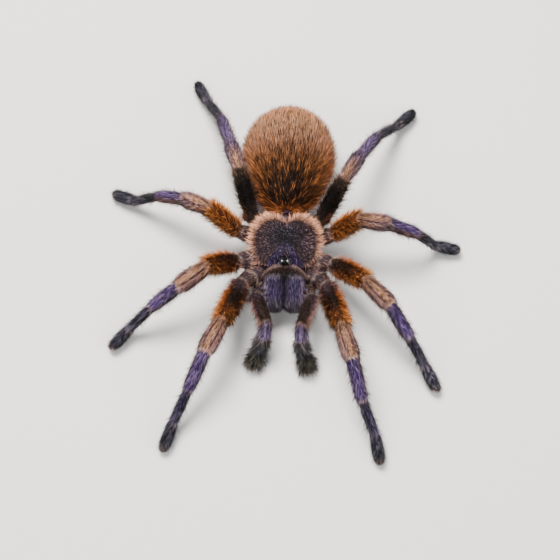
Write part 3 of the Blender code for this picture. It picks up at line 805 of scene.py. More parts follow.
def tarsus_marks(place):
    """Slate down under pewter hairs, with pale tips on the legs ahead; the palps' are olive."""
    s, off, front, limb = place.s, place.off, place.front, place.part
    tip = ramp(s, 0.6, 0.95)
    if "palp" in limb:
        down = paint("ink", ("olive", 0.5 * ramp(off, 40, 90)), ("umber", 0.6 * tip))
        guard = paint("olive", ("dun", 0.7 * tip), ("pewter", 0.3 * ramp(off, 50, 90)))
        return down, guard * 0.85, 0.45
    pale = {"leg_1": 0.7, "leg_2": 1.0, "leg_3": 0.5, "leg_4": 0.0}[limb[:5]]
    down = paint("slate", ("ink", 0.4 * band(off, 0, 14, 20)), ("umber", 0.6 * tip))
    streak = band(off, 0, 10, 15) * (1.0 - ramp(s, 0.2, 0.5)) * (1.0 if pale >= 0.7 else 0.0)
    guard = paint("pewter", ("slate", 0.4 * band(off, 0, 20, 30)), ("umber", 0.6 * tip),
                  ("ash", pale * tip), ("lilac", 0.5 * streak))
    shade = {"leg_1": 0.8, "leg_2": 1.1, "leg_3": 1.1, "leg_4": 1.0}[limb[:5]]
    # painted shade on the flanks and on the fourth leg's side that faces ahead, and painted light and
    # shade on the second leg's forward side
    shade = shade * (1.0 - 0.4 * ramp(off, 30, 60) * (1.0 - tip))
    if "leg_4" in limb:
        shade = shade * (1.0 - 0.5 * ramp(s, 0.3, 0.9)) * (1.0 - 0.85 * ramp(front, 10, 40))
    elif "leg_3" not in limb:
        shade = shade * (1.0 + tip)
    if "leg_2" in limb:
        shade = shade * (1.0 + ramp(front, 25, 60) * (2.6 * tip - 0.5))
    return *lit(shade, down, guard), 0.42


def coxa_marks(place):
    """Plum down under dun hairs, with two cream rings and a dark underside."""
    s, off, front, limb = place.s, place.off, place.front, place.part
    rings = np.maximum(ramp(s, 0.93, 0.97), 0.9 * band(s, 0.68, 0.015, 0.03))
    below = ramp(off, 90, 130)
    down = paint("plum", ("mauve", 0.7 * (1.0 - below)), ("bark", below), ("cream", 0.6 * rings))
    guard = paint("dun", ("rose", 0.35), ("cream", 0.6 * rings), ("bark", below))
    shade = 1.2 - 0.55 * ramp(s, 0.5, 0.8)
    if "palp" in limb:
        shade = shade * 0.75
    if "leg_4" in limb:
        shade = shade * (0.8 - 0.5 * ramp(s, 0.5, 0.8))
    # painted light on the side that faces ahead, on the third and second legs' coxae
    if "leg_3" in limb:
        shade = shade * (0.85 + 1.0 * ramp(front, -30, 30)) * (1.0 - 0.3 * ramp(s, 0.5, 0.8))
    if "leg_2" in limb:
        under_fringe = band(s, 0.45, 0.12, 0.12)
        lay(guard, "salmon", 0.6 * under_fringe)
        shade = shade * 1.55 + 0.5 * ramp(front, 20, 50) * under_fringe
    return *lit(shade, down, guard), 0.42


def chelicera_marks(place):
    """Dark violet, hazy on the outer side, and near black with painted shade where the two face each
    other.
    """
    s, outward = place.s, -place.front
    outer = ramp(outward, 18, 45)
    inner = ramp(-outward, 35, 65)
    tip = ramp(s, 0.55, 0.95)
    root = (1.0 - ramp(s, 0.015, 0.045)) * (1.0 - outer)
    below = ramp(place.off, 110, 150)
    # painted shade: ink, and more dark hairs, where the two chelicerae face each other across the gap
    # between them
    colours = [paint(base, ("haze", 0.75 * outer), ("ash", 0.4 * root), ("ink", 0.85 * inner),
                     ("flint", 0.7 * tip), ("bark", below))
               for base in ("chelicera violet", "grape")]
    lay(colours[1], "lilac", 0.6 * outer * (1.0 - tip))
    # painted shade: darker towards the tip on the outer side and near the root on the side facing the
    # other chelicera, and lighter partway down the outer side
    shade = 1.0 + outer * (0.25 * band(s, 0.58, 0.15, 0.1) - 0.65 * ramp(s, 0.72, 0.95))
    shade = shade - 0.25 * ramp(-outward, 15, 40) * (1.0 - ramp(s, 0.3, 0.5))
    return *lit(shade, *colours), 0.44 + 0.25 * inner


def carapace_fringe(s, ahead):
    """How much of the carapace's pale fringe there is, ahead being degrees from straight ahead."""
    start = 0.78 - 0.05 * ramp(ahead, 50, 75) - 0.11 * ramp(ahead, 70, 120)
    start += 0.05 * ramp(ahead, 168, 176) - 0.11 * ramp(ahead, 110, 145)
    width = 0.10 + 0.12 * ramp(ahead, 115, 150)
    return ramp(s, start, start + width) * ramp(ahead, 29, 44) * (1.0 - 0.4 * ramp(ahead, 172, 178))


def carapace_marks(place):
    """Near black with a violet wedge ahead of the fovea, dun sides and a rosy fringe."""
    s, ahead = place.s, 180.0 - place.off
    fringe = carapace_fringe(s, ahead)
    edge = 22.0 + 10.0 * ramp(s, 0.2, 0.8)
    wedge = (1.0 - ramp(ahead, edge - 3, edge + 4)) * ramp(s, 0.12, 0.30)
    sides = ramp(s, 0.15, 0.60)
    edges = wedge * ramp(ahead, 6, 20)
    rear = sides * ramp(ahead, 70, 120)
    down = paint("ink", ("shadow", sides), ("bark", 0.5 * rear),
                 ("deep violet", 0.4 * wedge + 0.5 * edges), ("dun", fringe), ("copper", 0.5 * fringe))
    guard = paint("haze", ("dun", 0.8 * sides), ("umber", 0.35 * rear), ("haze", 0.5 * wedge),
                  ("violet", 0.4 * edges), ("rose", fringe), ("salmon", 0.3 * fringe))
    front = (1.0 - ramp(ahead, 45, 60)) * (1.0 - wedge)
    guard *= (0.55 + 0.35 * sides + 0.1 * fringe - 0.25 * front * (1.0 - fringe))[:, None]
    return down, guard, 0.42 * (1.0 - fringe) + 0.26 * fringe


def clypeus_marks(place):
    """Brown with a dun crest."""
    crest = band(place.degrees, -20, 24, 14)
    return *(paint(base, ("dun", 0.9 * crest)) for base in ("umber", "mauve")), 0.25


def abdomen_marks(place):
    """Nearly black at the front, copper brown towards the rear, with a copper hem ahead."""
    s, off = place.s, place.off
    rim = ramp(off, 50, 85)
    dark = (1.0 - 0.75 * ramp(off, 5, 75)) * (1.0 - ramp(s, 0.15, 0.62)) * ramp(s, 0.01, 0.05)
    midline = (1.0 - ramp(off, 4, 26)) * (1.0 - ramp(s, 0.45, 0.80))
    belly = ramp(off, 118, 150) * (1.0 - ramp(s, 0.88, 0.96))
    guard = gradient(s, ((0.0, "341a08"), (0.1, "2b1506"), (0.2, "4c2c10"),
                         (0.35, "6e4526"), (0.5, "765340"), (0.7, "8c674e"), (0.9, "b27850")))
    hem = (1.0 - ramp(s, 0.025, 0.07)) * (0.6 + 0.4 * ramp(off, 0, 20))
    lay(guard, "copper", 0.75 * hem)
    lay(guard, "rust", 0.4 * rim * (1.0 - ramp(s, 0.3, 0.7)))
    lay(guard, "soot", 0.6 * dark)
    lay(guard, "bark", 0.8 * belly)
    return (guard * (0.25 + 0.5 * hem)[:, None], guard,
            0.34 * (1.0 - 0.6 * hem) + 0.40 * np.maximum(dark, 0.5 * midline))


def plain_marks(place):
    """Dark brown, for all that lies underneath."""
    return paint("bark", ("soot", 0.4)), paint("umber", ("bark", 0.5)), 0.3


def pedicel_marks(place):
    """Copper with a mauve line along its top, and painted light that brightens it towards the abdomen."""
    s = place.s
    line = 1.0 - ramp(place.off, 5, 10)
    # painted light, strongest next to the abdomen, where the abdomen's shadow falls
    shade = 0.7 + 2.3 * ramp(s, np.median(s), s.max())
    return *lit(shade, paint("umber", ("mauve", line)), paint("copper", ("lilac", 0.8 * line))), 0.1


def mound_marks(place):
    """The black mound of the eyes."""
    half = place.s * 0.5
    return paint("ink", ("soot", half)), paint("ink", ("slate", half)), 0.3


def spinneret_marks(place):
    """Copper brown, darker towards the tip."""
    half = place.s * 0.5
    return paint("umber", ("bark", half)), paint("copper", ("bark", half)), 0.2


MARKS = {
    "femur": femur_marks, "patella": patella_marks, "tibia": tibia_marks,
    "metatarsus": metatarsus_marks, "tarsus": tarsus_marks, "coxa": coxa_marks,
    "chelicera": chelicera_marks, "carapace": carapace_marks, "clypeus": clypeus_marks,
    "abdomen": abdomen_marks, "spinneret": spinneret_marks, "pedicel": pedicel_marks,
    "eye_tubercle": mound_marks}
# rough radius and length of each kind of part, which give the streaks of its coat their size
PART_SIZES = {
    "femur": (2.3, 14.0), "patella": (3.4, 7.5), "tibia": (2.9, 9.0), "metatarsus": (1.5, 11.0),
    "tarsus": (1.5, 8.5), "coxa": (2.3, 8.0), "chelicera": (2.8, 10.0), "carapace": (6.0, 10.0),
    "abdomen": (10.0, 24.0), "clypeus": (1.0, 13.0)}


def part_kind(part):
    if part.startswith(("chelicera", "spinneret")):
        return part.split("_")[0]
    last = part.split("_")[-1]
    return last if last in MARKS else part


# ---- the coat's three layers -------------------------------------------------
# length, hairs per square mm and lift in degrees, for the down, the guard hairs and the bristles
COAT = {
    "femur": ((1.8, 10.0, 32), (3.0, 6.0, 42), (3.9, 1.3, 54)),
    "patella": ((1.2, 15.0, 22), (2.0, 4.8, 34), (2.8, 1.3, 56)),
    "tibia": ((1.3, 15.0, 22), (2.3, 5.4, 36), (3.0, 1.7, 56)),
    "metatarsus": ((1.4, 12.0, 26), (2.5, 6.5, 36), (3.0, 1.8, 54)),
    "tarsus": ((1.4, 13.0, 32), (2.1, 7.0, 40), (2.5, 1.5, 52)),
    "coxa": ((1.0, 13.0, 25), (1.8, 3.6, 40), (2.4, 0.8, 55)),
    "chelicera": ((1.1, 20.0, 16), (1.9, 7.0, 22), (1.6, 0.4, 50)),
    "carapace": ((0.75, 22.0, 34), (1.0, 6.0, 46), (1.5, 0.7, 70)),
    "clypeus": ((0.8, 16.0, 25), (1.1, 3.0, 35), (1.1, 0.4, 60)),
    "abdomen": ((1.8, 9.0, 32), (3.9, 13.0, 22), (4.4, 2.6, 48)),
    "eye_tubercle": ((0.3, 6.0, 15), (0.5, 0.3, 40), (0.5, 0.0, 40)),
    "prosoma_underside": ((1.2, 8.0, 30), (1.9, 1.4, 45), (2.0, 0.2, 60)),
    "spinneret": ((1.0, 12.0, 25), (1.6, 4.0, 30), (1.6, 0.0, 30)),
    "pedicel": ((1.2, 12.0, 35), (1.9, 5.0, 45), (2.0, 0.0, 45))}
COAT_REST = ((0.8, 8.0, 25), (1.2, 0.8, 40), (1.2, 0.0, 40))


def bushy_flank(place, tall):
    """The palps' outer flanks have denser and longer hairs."""
    outer = ramp(-place.front, 35, 75) * (1 - ramp(place.off, 120, 150))
    tall.thick *= 1 + 1.2 * outer
    tall.long *= 1 + 0.45 * outer


def bushy_end(short, tall, longer, lift):
    """The palps' last two segments are as bushy as a bottle brush."""
    tall.thick *= 2.4
    tall.long *= longer
    tall.lift += math.radians(lift)
    short.long *= 1.3


def femur_coat(place, short, tall, bristle):
    """Shaggy at the sides and sleeker on top, and all sleeker on the slim femora."""
    palp = "palp" in place.part
    slim = palp or "leg_4" in place.part
    side = band(place.off, 80, 38, 25)
    if palp:
        side = side * ramp(-place.front, -10, 30)
    far = 1.0 + 0.15 * ramp(place.s, 0.6, 0.9)
    short.long *= 0.75 if slim else 0.80 + 0.25 * side
    tall.thick *= 0.5 + 0.9 * side if slim else 0.6 + 1.4 * side
    tall.long *= 0.58 + 0.35 * side if slim else (0.72 + 0.42 * side) * far
    tall.lift += math.radians(0 if slim else 7) * side
    bristle.thick *= 0.3 + 1.2 * side
    bristle.long *= 0.62 + 0.38 * side
    if palp:
        bushy_flank(place, tall)


def patella_coat(place, short, tall, bristle):
    """Its two stripes have no guard hairs, and the bristles on top are shorter."""
    tall.thick *= 1 - patella_stripes(place.s, place.off)
    bristle.long *= 0.75 + 0.25 * ramp(place.off, 20, 60)
    short.long *= 1 - 0.25 * ramp(place.s, 0.8, 1.0)
    if "palp" in place.part:
        bushy_flank(place, tall)


def tibia_coat(place, short, tall, bristle):
    """Plain on the legs."""
    if "palp" in place.part:
        bushy_end(short, tall, 1.6, 6)


def metatarsus_coat(place, short, tall, bristle):
    """A dense short pad underneath, with nothing longer in it."""
    under = ramp(place.off, 100, 135)
    short.thick *= 1 + 0.5 * under
    short.long *= 1 - 0.45 * under
    tall.thick *= 1 - under
    bristle.thick *= 1 - under


def tarsus_coat(place, short, tall, bristle):
    """The same pad, and a coat that shortens towards the claws."""
    metatarsus_coat(place, short, tall, bristle)
    tip = ramp(place.s, 0.75, 1.0)
    bristle.long *= 1 - 0.6 * tip
    tall.long *= 1 - 0.45 * tip
    short.long *= 1 - 0.25 * tip
    if "palp" in place.part:
        bushy_end(short, tall, 2.0, 13)


def chelicera_coat(place, short, tall, bristle):
    """Denser and longer hairs round the lower end."""
    low_end = ramp(place.s, 0.6, 0.95)
    tall.thick *= 1 + 3.0 * low_end
    tall.long *= 1 + 0.5 * low_end


def carapace_coat(place, short, tall, bristle):
    """Short, with a raised fringe round the rim that is longest at the front corners."""
    ahead = 180 - place.off
    fringe = carapace_fringe(place.s, ahead)
    upper = place.normals[:, 2] > -0.3
    front_side = band(ahead, 56, 22, 16)
    front_corner = band(ahead, 46, 10, 10)
    tall.thick = (6.0 + (10.0 + 6.0 * front_side) * fringe) * upper
    tall.long *= 1 + (1.65 + 1.5 * front_side + 0.6 * front_corner) * fringe
    tall.lift += math.radians(8) * fringe
    short.long *= 1 + 0.8 * fringe
    short.lift += math.radians(14) * fringe


def abdomen_coat(place, short, tall, bristle):
    """Sleek on top and shaggy round the sides and rear, with a thin coat on the belly."""
    belly = ramp(place.off, 112, 150)
    facing_up = np.clip(place.normals[:, 2], 0.0, 1.0)
    halo = (1.0 - facing_up) * ramp(place.s, 0.2, 0.45)
    short.thick *= 1 - 0.3 * belly
    tall.thick *= 1 - 0.55 * belly
    tall.long *= (1 - 0.40 * belly) * (0.62 + 0.38 * ramp(place.s, 0.05, 0.4))
    tall.long *= 0.88 + 0.12 * (1.0 - facing_up) + 0.35 * halo
    tall.lift += math.radians(26) * (1.0 - facing_up) ** 1.5
    bristle.thick *= 1 - belly
    bristle.thick *= 1 + 0.9 * halo
    bristle.long *= 0.8 + 0.2 * (1.0 - facing_up) + 0.3 * halo
    bristle.lift -= math.radians(30) * facing_up


COAT_SHAPES = {
    "femur": femur_coat, "patella": patella_coat, "tibia": tibia_coat,
    "metatarsus": metatarsus_coat, "tarsus": tarsus_coat, "chelicera": chelicera_coat,
    "carapace": carapace_coat, "abdomen": abdomen_coat}


def part_coat(place):
    """One part's share of dark hairs, and its down, guard hairs and bristles."""
    count = len(place.s)
    short, tall, bristle = layers = [
        SimpleNamespace(long=np.full(count, length), thick=np.full(count, density),
                        lift=np.full(count, math.radians(lift)))
        for length, density, lift in COAT.get(place.kind, COAT_REST)]
    short.colour, tall.colour, dusk = MARKS.get(place.kind, plain_marks)(place)
    if place.kind in COAT_SHAPES:
        COAT_SHAPES[place.kind](place, short, tall, bristle)
    if place.kind in LEG_SEGMENTS:
        flank = ramp(place.off, 35, 85)      # painted shade on the flanks, standing in for the shadow of the hairs above them
        short.colour = short.colour * (1.0 - 0.50 * flank)[:, None]
        tall.colour = tall.colour * (1.0 - 0.35 * flank)[:, None]
    rusty_femur = place.kind == "femur" and place.part.startswith(("leg_1", "leg_2", "leg_3"))
    warm = place.kind == "abdomen" or rusty_femur
    tint = COLOURS["copper"] if warm else COLOURS["umber"] * 0.7
    bristle.colour = 0.5 * tall.colour + 0.45 * tint
    return dusk, layers


def coat_fields(places):
    """Length, density, lift and colour of the three layers, and the share of dark hairs."""
    count = len(places.names)
    layers = [SimpleNamespace(
        long=np.zeros(count), thick=np.zeros(count), lift=np.zeros(count),
        colour=np.zeros((count, 3))) for _ in range(3)]
    dusk = np.zeros(count)
    for part in places.parts:
        mask = places.names == part
        degrees = np.degrees(places.round[mask])
        place = SimpleNamespace(
            part=part, kind=part_kind(part), s=places.along[mask], degrees=degrees,
            off=np.abs(degrees), front=degrees * (1.0 if "left" in part else -1.0),
            normals=places.normals[mask])
        dusk[mask], grown = part_coat(place)
        for layer, part_layer in zip(layers, grown):
            for field, values in vars(layer).items():
                values[mask] = getattr(part_layer, field)
    return dusk, layers


# ---- materials ---------------------------------------------------------------
def add(tree, kind, inputs=None, **settings):
    """Adds a node, with its settings, and the values or links of its sockets."""
    node = tree.nodes.new(kind)
    for key, value in settings.items():
        setattr(node, key, value)
    for key, value in (inputs or {}).items():
        if isinstance(value, bpy.types.NodeSocket):
            tree.links.new(value, node.inputs[key])
        else:
            node.inputs[key].default_value = value
    return node


def new_material(name, colour=None, **sockets):
    """Principled material with an sRGB hex colour and constants on the shader's own sockets."""
    material = bpy.data.materials.new(name)
    material.use_nodes = True
    tree = material.node_tree
    shader = tree.nodes["Principled BSDF"]
    if colour:
        shader.inputs["Base Color"].default_value = (*linear(colour), 1.0)
    for key, value in sockets.items():
        shader.inputs[key.replace("_", " ")].default_value = value
    return material, tree, shader


def streaked(tree, low, high):
    """Streaks of light and dark that run with the lie of the coat, 3.8 to a millimetre."""
    strand = add(tree, "ShaderNodeAttribute", attribute_name="strand")
    grain = add(tree, "ShaderNodeTexNoise", {
        "Vector": strand.outputs["Vector"], "Scale": 3.8, "Detail": 2.0, "Roughness": 0.6})
    return add(tree, "ShaderNodeMapRange", {
        "Value": grain.outputs["Fac"], "From Min": 0.3, "From Max": 0.7,
        "To Min": low, "To Max": high}).outputs["Result"]


def scaled_pelt(tree, shader, *scales):
    """The coat's markings, darkened or lit by each of the scales in turn."""
    colour = add(tree, "ShaderNodeAttribute", attribute_name="pelt").outputs["Color"]
    for scale in scales:
        colour = add(tree, "ShaderNodeVectorMath", {
            0: colour, "Scale": scale}, operation="SCALE").outputs["Vector"]
    tree.links.new(colour, shader.inputs["Base Color"])


def hair_material(name, root_shade, tip_shade, **sockets):
    """Chitin hairs in the coat's markings: dark at the root, pale and glossy towards the tip."""
    material, tree, shader = new_material(name, **sockets)
    along = add(tree, "ShaderNodeAttribute", attribute_name="along")
    shade = add(tree, "ShaderNodeMapRange", {
        "Value": along.outputs["Fac"], "From Min": 0.0, "From Max": 0.55,
        "To Min": root_shade, "To Max": tip_shade})
    tone = add(tree, "ShaderNodeAttribute", attribute_name="tone").outputs["Fac"]
    dusk = add(tree, "ShaderNodeAttribute", attribute_name="dusk").outputs["Fac"]
    # a hair whose lot falls under the share of dark hairs is nearly black
    lead = add(tree, "ShaderNodeMath", {0: tone, 1: dusk}, operation="SUBTRACT")
    dark = add(tree, "ShaderNodeMapRange", {
        "Value": lead.outputs["Value"], "From Min": -0.1, "From Max": 0.1,
        "To Min": 0.14, "To Max": 1.0})
    bright = add(tree, "ShaderNodeMapRange", {"Value": tone, "To Min": 0.45, "To Max": 1.65})
    scaled_pelt(tree, shader, shade.outputs["Result"], dark.outputs["Result"],
                bright.outputs["Result"], streaked(tree, 0.48, 1.52))
    return material


def skin_material():
    """Cuticle between the hairs: a dark leathery shell with a fine pebbled grain.

    Its pebbles are 0.4 mm across, coarser than in life, where they are too fine to show, and its
    shade changes over about 0.8 mm.
    """
    material, tree, shader = new_material("cuticle", Roughness=0.6, Specular_IOR_Level=0.15)
    cloud = add(tree, "ShaderNodeTexNoise", {"Scale": 1.2 / MM, "Detail": 4.0})
    shade = add(tree, "ShaderNodeMapRange", {
        "Value": cloud.outputs["Fac"], "To Min": 0.10, "To Max": 0.45})
    scaled_pelt(tree, shader, shade.outputs["Result"], streaked(tree, 0.75, 1.25))
    grain = add(tree, "ShaderNodeTexVoronoi", {"Scale": 1.0 / (0.4 * MM)})
    bump = add(tree, "ShaderNodeBump", {
        "Height": grain.outputs["Distance"], "Strength": 0.4, "Distance": 0.05 * MM})
    tree.links.new(bump.outputs["Normal"], shader.inputs["Normal"])
    return material


def lens_material():
    """Clear lens over a black eye: as smooth as glass, with one bright wet glint."""
    return new_material(
        "eye lens", "0a0a10", Roughness=0.06, Specular_IOR_Level=1.0, Coat_Weight=1.0,
        Coat_Roughness=0.03, Coat_IOR=2.2)[0]


def small_lens_material():
    """Lens of a small eye: the same black, with a film that dulls its glint."""
    return new_material("small eye lens", "121216", Roughness=0.3)[0]


def horn_material():
    """Horn of fangs and claws: hard dark chitin, worn to a red-black polish."""
    return new_material(
        "fang horn", "1d1210", Roughness=0.18, Coat_Weight=0.5, Coat_Roughness=0.1)[0]


# ---- the hair tree -----------------------------------------------------------
def coat_tree():
    """Geometry Nodes that stand hairs on a skin, lying the way its "lie" attribute says.

    One hair is a three-sided spike of length 1 that curls towards the skin.  Attributes of the
    skin set each hair's length, lift and colour, and how thickly they grow.
    """
    tree = bpy.data.node_groups.new("coat of hairs", "GeometryNodeTree")
    face = tree.interface
    face.new_socket("Geometry", in_out="INPUT", socket_type="NodeSocketGeometry")
    for name, kind, value in (
            ("Seed", "Int", 1), ("Segments", "Int", 2), ("Thickness", "Float", 0.06),
            ("Curl", "Float", 0.18), ("Ruffle", "Float", 0.12), ("Shortest", "Float", 0.6),
            ("Floor", "Float", 0.05)):
        socket = face.new_socket(name, in_out="INPUT", socket_type=f"NodeSocket{kind}")
        socket.default_value = value
    face.new_socket("Material", in_out="INPUT", socket_type="NodeSocketMaterial")
    face.new_socket("Geometry", in_out="OUTPUT", socket_type="NodeSocketGeometry")
    given = add(tree, "NodeGroupInput").outputs

    # attributes that the skin carries, and the hairs on it
    told = {}
    for name, kind in (("thick", "FLOAT"), ("long", "FLOAT"), ("lift", "FLOAT"),
                       ("lie", "FLOAT_VECTOR"), ("OFBake", "FLOAT_VECTOR"),
                       ("root", "FLOAT_VECTOR"), ("patch", "FLOAT_VECTOR")):
        told[name] = add(
            tree, "GeometryNodeInputNamedAttribute", {"Name": name}, data_type=kind).outputs[0]

    # one hair, 1 long, which swells at its middle and curls over
    radius = add(tree, "ShaderNodeMath", {
        0: given["Thickness"], 1: 0.5}, operation="MULTIPLY").outputs[0]
    spike = add(tree, "GeometryNodeMeshCone", {
        "Vertices": 3, "Side Segments": given["Segments"], "Radius Top": 0.0,
        "Radius Bottom": radius, "Depth": 1.0}, fill_type="NGON").outputs["Mesh"]
    place = add(tree, "GeometryNodeInputPosition").outputs[0]
    parts = add(tree, "ShaderNodeSeparateXYZ", {0: place}).outputs
    height = parts["Z"]
    spike = add(tree, "GeometryNodeStoreNamedAttribute", {
        "Geometry": spike, "Name": "along", 3: height}, data_type="FLOAT").outputs[0]
    flat_place = add(tree, "ShaderNodeCombineXYZ", {"X": parts["X"], "Y": parts["Y"]}).outputs[0]
    spread = add(tree, "ShaderNodeMath", {0: 0.5, 1: radius}, operation="DIVIDE").outputs[0]
    patch = add(tree, "ShaderNodeVectorMath", {
        0: flat_place, "Scale": spread}, operation="SCALE").outputs[0]
    spike = add(tree, "GeometryNodeStoreNamedAttribute", {
        "Geometry": spike, "Name": "patch", 3: patch}, data_type="FLOAT_VECTOR").outputs[0]
    above = add(tree, "ShaderNodeMath", {0: 1.0, 1: height}, operation="SUBTRACT").outputs[0]
    belly = add(tree, "ShaderNodeMath", {
        0: height, 1: above}, operation="MULTIPLY").outputs[0]
    swell = add(tree, "ShaderNodeMath", {
        0: belly, 1: 2.4, 2: 1.0}, operation="MULTIPLY_ADD").outputs[0]
    square = add(tree, "ShaderNodeMath", {0: height, 1: height}, operation="MULTIPLY").outputs[0]
    bend = add(tree, "ShaderNodeMath", {
        0: square, 1: given["Curl"]}, operation="MULTIPLY").outputs[0]
    bent_x = add(tree, "ShaderNodeMath", {
        0: parts["X"], 1: swell, 2: bend}, operation="MULTIPLY_ADD").outputs[0]
    bent_y = add(tree, "ShaderNodeMath", {
        0: parts["Y"], 1: swell}, operation="MULTIPLY").outputs[0]
    sunk = add(tree, "ShaderNodeMath", {0: height, 1: 0.04}, operation="SUBTRACT").outputs[0]
    bent = add(tree, "ShaderNodeCombineXYZ", {"X": bent_x, "Y": bent_y, "Z": sunk}).outputs[0]
    spike = add(tree, "GeometryNodeSetPosition", {
        "Geometry": spike, "Position": bent}).outputs[0]

    # its root on the skin, and the lot that makes it dark or pale
    scatter = add(tree, "GeometryNodeDistributePointsOnFaces", {
        "Mesh": given["Geometry"], "Density": told["thick"], "Seed": given["Seed"]})
    roots = add(tree, "GeometryNodeStoreNamedAttribute", {
        "Geometry": scatter.outputs["Points"], "Name": "root", 3: told["OFBake"]},
        data_type="FLOAT_VECTOR").outputs[0]
    other_seed = add(tree, "ShaderNodeMath", {
        0: given["Seed"], 1: 77.0}, operation="ADD").outputs[0]
    lot = add(tree, "FunctionNodeRandomValue", {
        2: 0.0, 3: 1.0, "Seed": other_seed}, data_type="FLOAT").outputs[1]
    roots = add(tree, "GeometryNodeStoreNamedAttribute", {
        "Geometry": roots, "Name": "tone", 3: lot}, data_type="FLOAT").outputs[0]

    # the way it points: along the lie, lifted off the skin and ruffled
    outward = scatter.outputs["Normal"]
    low_share = add(tree, "ShaderNodeMath", {0: told["lift"]}, operation="COSINE").outputs[0]
    high_share = add(tree, "ShaderNodeMath", {0: told["lift"]}, operation="SINE").outputs[0]
    flat_part = add(tree, "ShaderNodeVectorMath", {
        0: told["lie"], "Scale": low_share}, operation="SCALE").outputs[0]
    tall_part = add(tree, "ShaderNodeVectorMath", {
        0: outward, "Scale": high_share}, operation="SCALE").outputs[0]
    lifted = add(tree, "ShaderNodeVectorMath", {
        0: flat_part, 1: tall_part}, operation="ADD").outputs[0]
    stray = add(tree, "FunctionNodeRandomValue", {
        0: (-1.0, -1.0, -1.0), 1: (1.0, 1.0, 1.0), "Seed": given["Seed"]},
        data_type="FLOAT_VECTOR").outputs[0]
    ruffle = add(tree, "ShaderNodeVectorMath", {
        0: stray, "Scale": given["Ruffle"]}, operation="SCALE").outputs[0]
    heading = add(tree, "ShaderNodeVectorMath", {0: lifted, 1: ruffle}, operation="ADD").outputs[0]
    inward = add(tree, "ShaderNodeVectorMath", {
        0: outward, "Scale": -1.0}, operation="SCALE").outputs[0]
    turn = add(tree, "FunctionNodeAxesToRotation", {
        0: heading, 1: inward}, primary_axis="Z", secondary_axis="X").outputs[0]
    uneven = add(tree, "FunctionNodeRandomValue", {
        2: given["Shortest"], 3: 1.0, "Seed": given["Seed"]}, data_type="FLOAT").outputs[1]
    length = add(tree, "ShaderNodeMath", {
        0: told["long"], 1: uneven}, operation="MULTIPLY").outputs[0]
    hairs = add(tree, "GeometryNodeInstanceOnPoints", {
        "Points": roots, "Instance": spike, "Rotation": turn, "Scale": length}).outputs[0]
    hairs = add(tree, "GeometryNodeRealizeInstances", {"Geometry": hairs}).outputs[0]

    # none of it under the floor, and each hair on its own patch of the baking map
    place = add(tree, "GeometryNodeInputPosition").outputs[0]
    parts = add(tree, "ShaderNodeSeparateXYZ", {0: place}).outputs
    over_floor = add(tree, "ShaderNodeMath", {
        0: parts["Z"], 1: given["Floor"]}, operation="MAXIMUM").outputs[0]
    raised = add(tree, "ShaderNodeCombineXYZ", {
        "X": parts["X"], "Y": parts["Y"], "Z": over_floor}).outputs[0]
    hairs = add(tree, "GeometryNodeSetPosition", {
        "Geometry": hairs, "Position": raised}).outputs[0]
    patch = add(tree, "ShaderNodeVectorMath", {
        0: told["patch"], "Scale": TUFT_PATCH}, operation="SCALE").outputs[0]
    spot = add(tree, "ShaderNodeVectorMath", {
        0: told["root"], 1: patch}, operation="ADD").outputs[0]
    hairs = add(tree, "GeometryNodeRemoveAttribute", {
        "Geometry": hairs, "Name": "OFBake"}).outputs[0]
    hairs = add(tree, "GeometryNodeStoreNamedAttribute", {
        "Geometry": hairs, "Name": "OFBake", 3: spot},
        data_type="FLOAT2", domain="CORNER").outputs[0]
    hairs = add(tree, "GeometryNodeSetMaterial", {
        "Geometry": hairs, "Material": given["Material"]}).outputs[0]
    add(tree, "NodeGroupOutput", {"Geometry": hairs})
    return tree


def set_inputs(modifier, **values):
    """Sets a tree's named inputs through their sockets' identifiers."""
    for item in modifier.node_group.interface.items_tree:
        if item.in_out == "INPUT" and item.name in values:
            modifier[item.identifier] = values[item.name]


def set_attribute(mesh, name, kind, values):
    attribute = mesh.attributes.get(name) or mesh.attributes.new(name, kind, "POINT")
    key = {"FLOAT": "value", "FLOAT_VECTOR": "vector", "FLOAT_COLOR": "color"}[kind]
    attribute.data.foreach_set(key, np.ascontiguousarray(values, dtype=np.float32).ravel())


def with_alpha(colours):
    return np.column_stack([colours, np.ones(len(colours))])


def place_piece(name, mesh, replaced=()):
    """Puts a finished mesh in the scene, in metres, riding on the one body."""
    mesh.transform(Matrix.Scale(MM, 4))
    mesh.name = name
    mesh.shade_smooth()
    piece = new_object(name, mesh)
    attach(piece, "root")
    if replaced:
        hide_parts(*replaced)
    return piece


# attributes that only the hair tree reads
SCRATCH = ("lie", "long", "thick", "lift", "patch", "root", "id")


def grow_coat(name, skin, field, mask, tree, material, slot, seed, **shape):
    """One coat piece: the hairs of one layer on the masked part of the skin."""
    ground = skin.copy()
    set_attribute(ground, "pelt", "FLOAT_COLOR", with_alpha(field.colour))
    set_attribute(ground, "long", "FLOAT", field.long)
    set_attribute(ground, "lift", "FLOAT", field.lift)
    set_attribute(ground, "thick", "FLOAT", np.where(mask, field.thick, 0.0))
    body = new_object(name + "_ground", ground)
    grower = body.modifiers.new("coat", "NODES")
    grower.node_group = tree
    set_inputs(grower, Seed=seed, Material=material, **shape)
    coat = evaluated_mesh(body)
    bpy.data.objects.remove(body)
    bpy.data.meshes.remove(ground)
    for scratch in SCRATCH:
        if scratch in coat.attributes:
            coat.attributes.remove(coat.attributes[scratch])
    return place_piece(name, coat)


# ---- the map that colours are baked to ---------------------------------------
ATLAS_CELLS = 8                        # cells across the map, and up it
LIMB_COLUMNS = 6                       # columns of cells that the limbs' parts share
CELL_MARGIN = 0.06


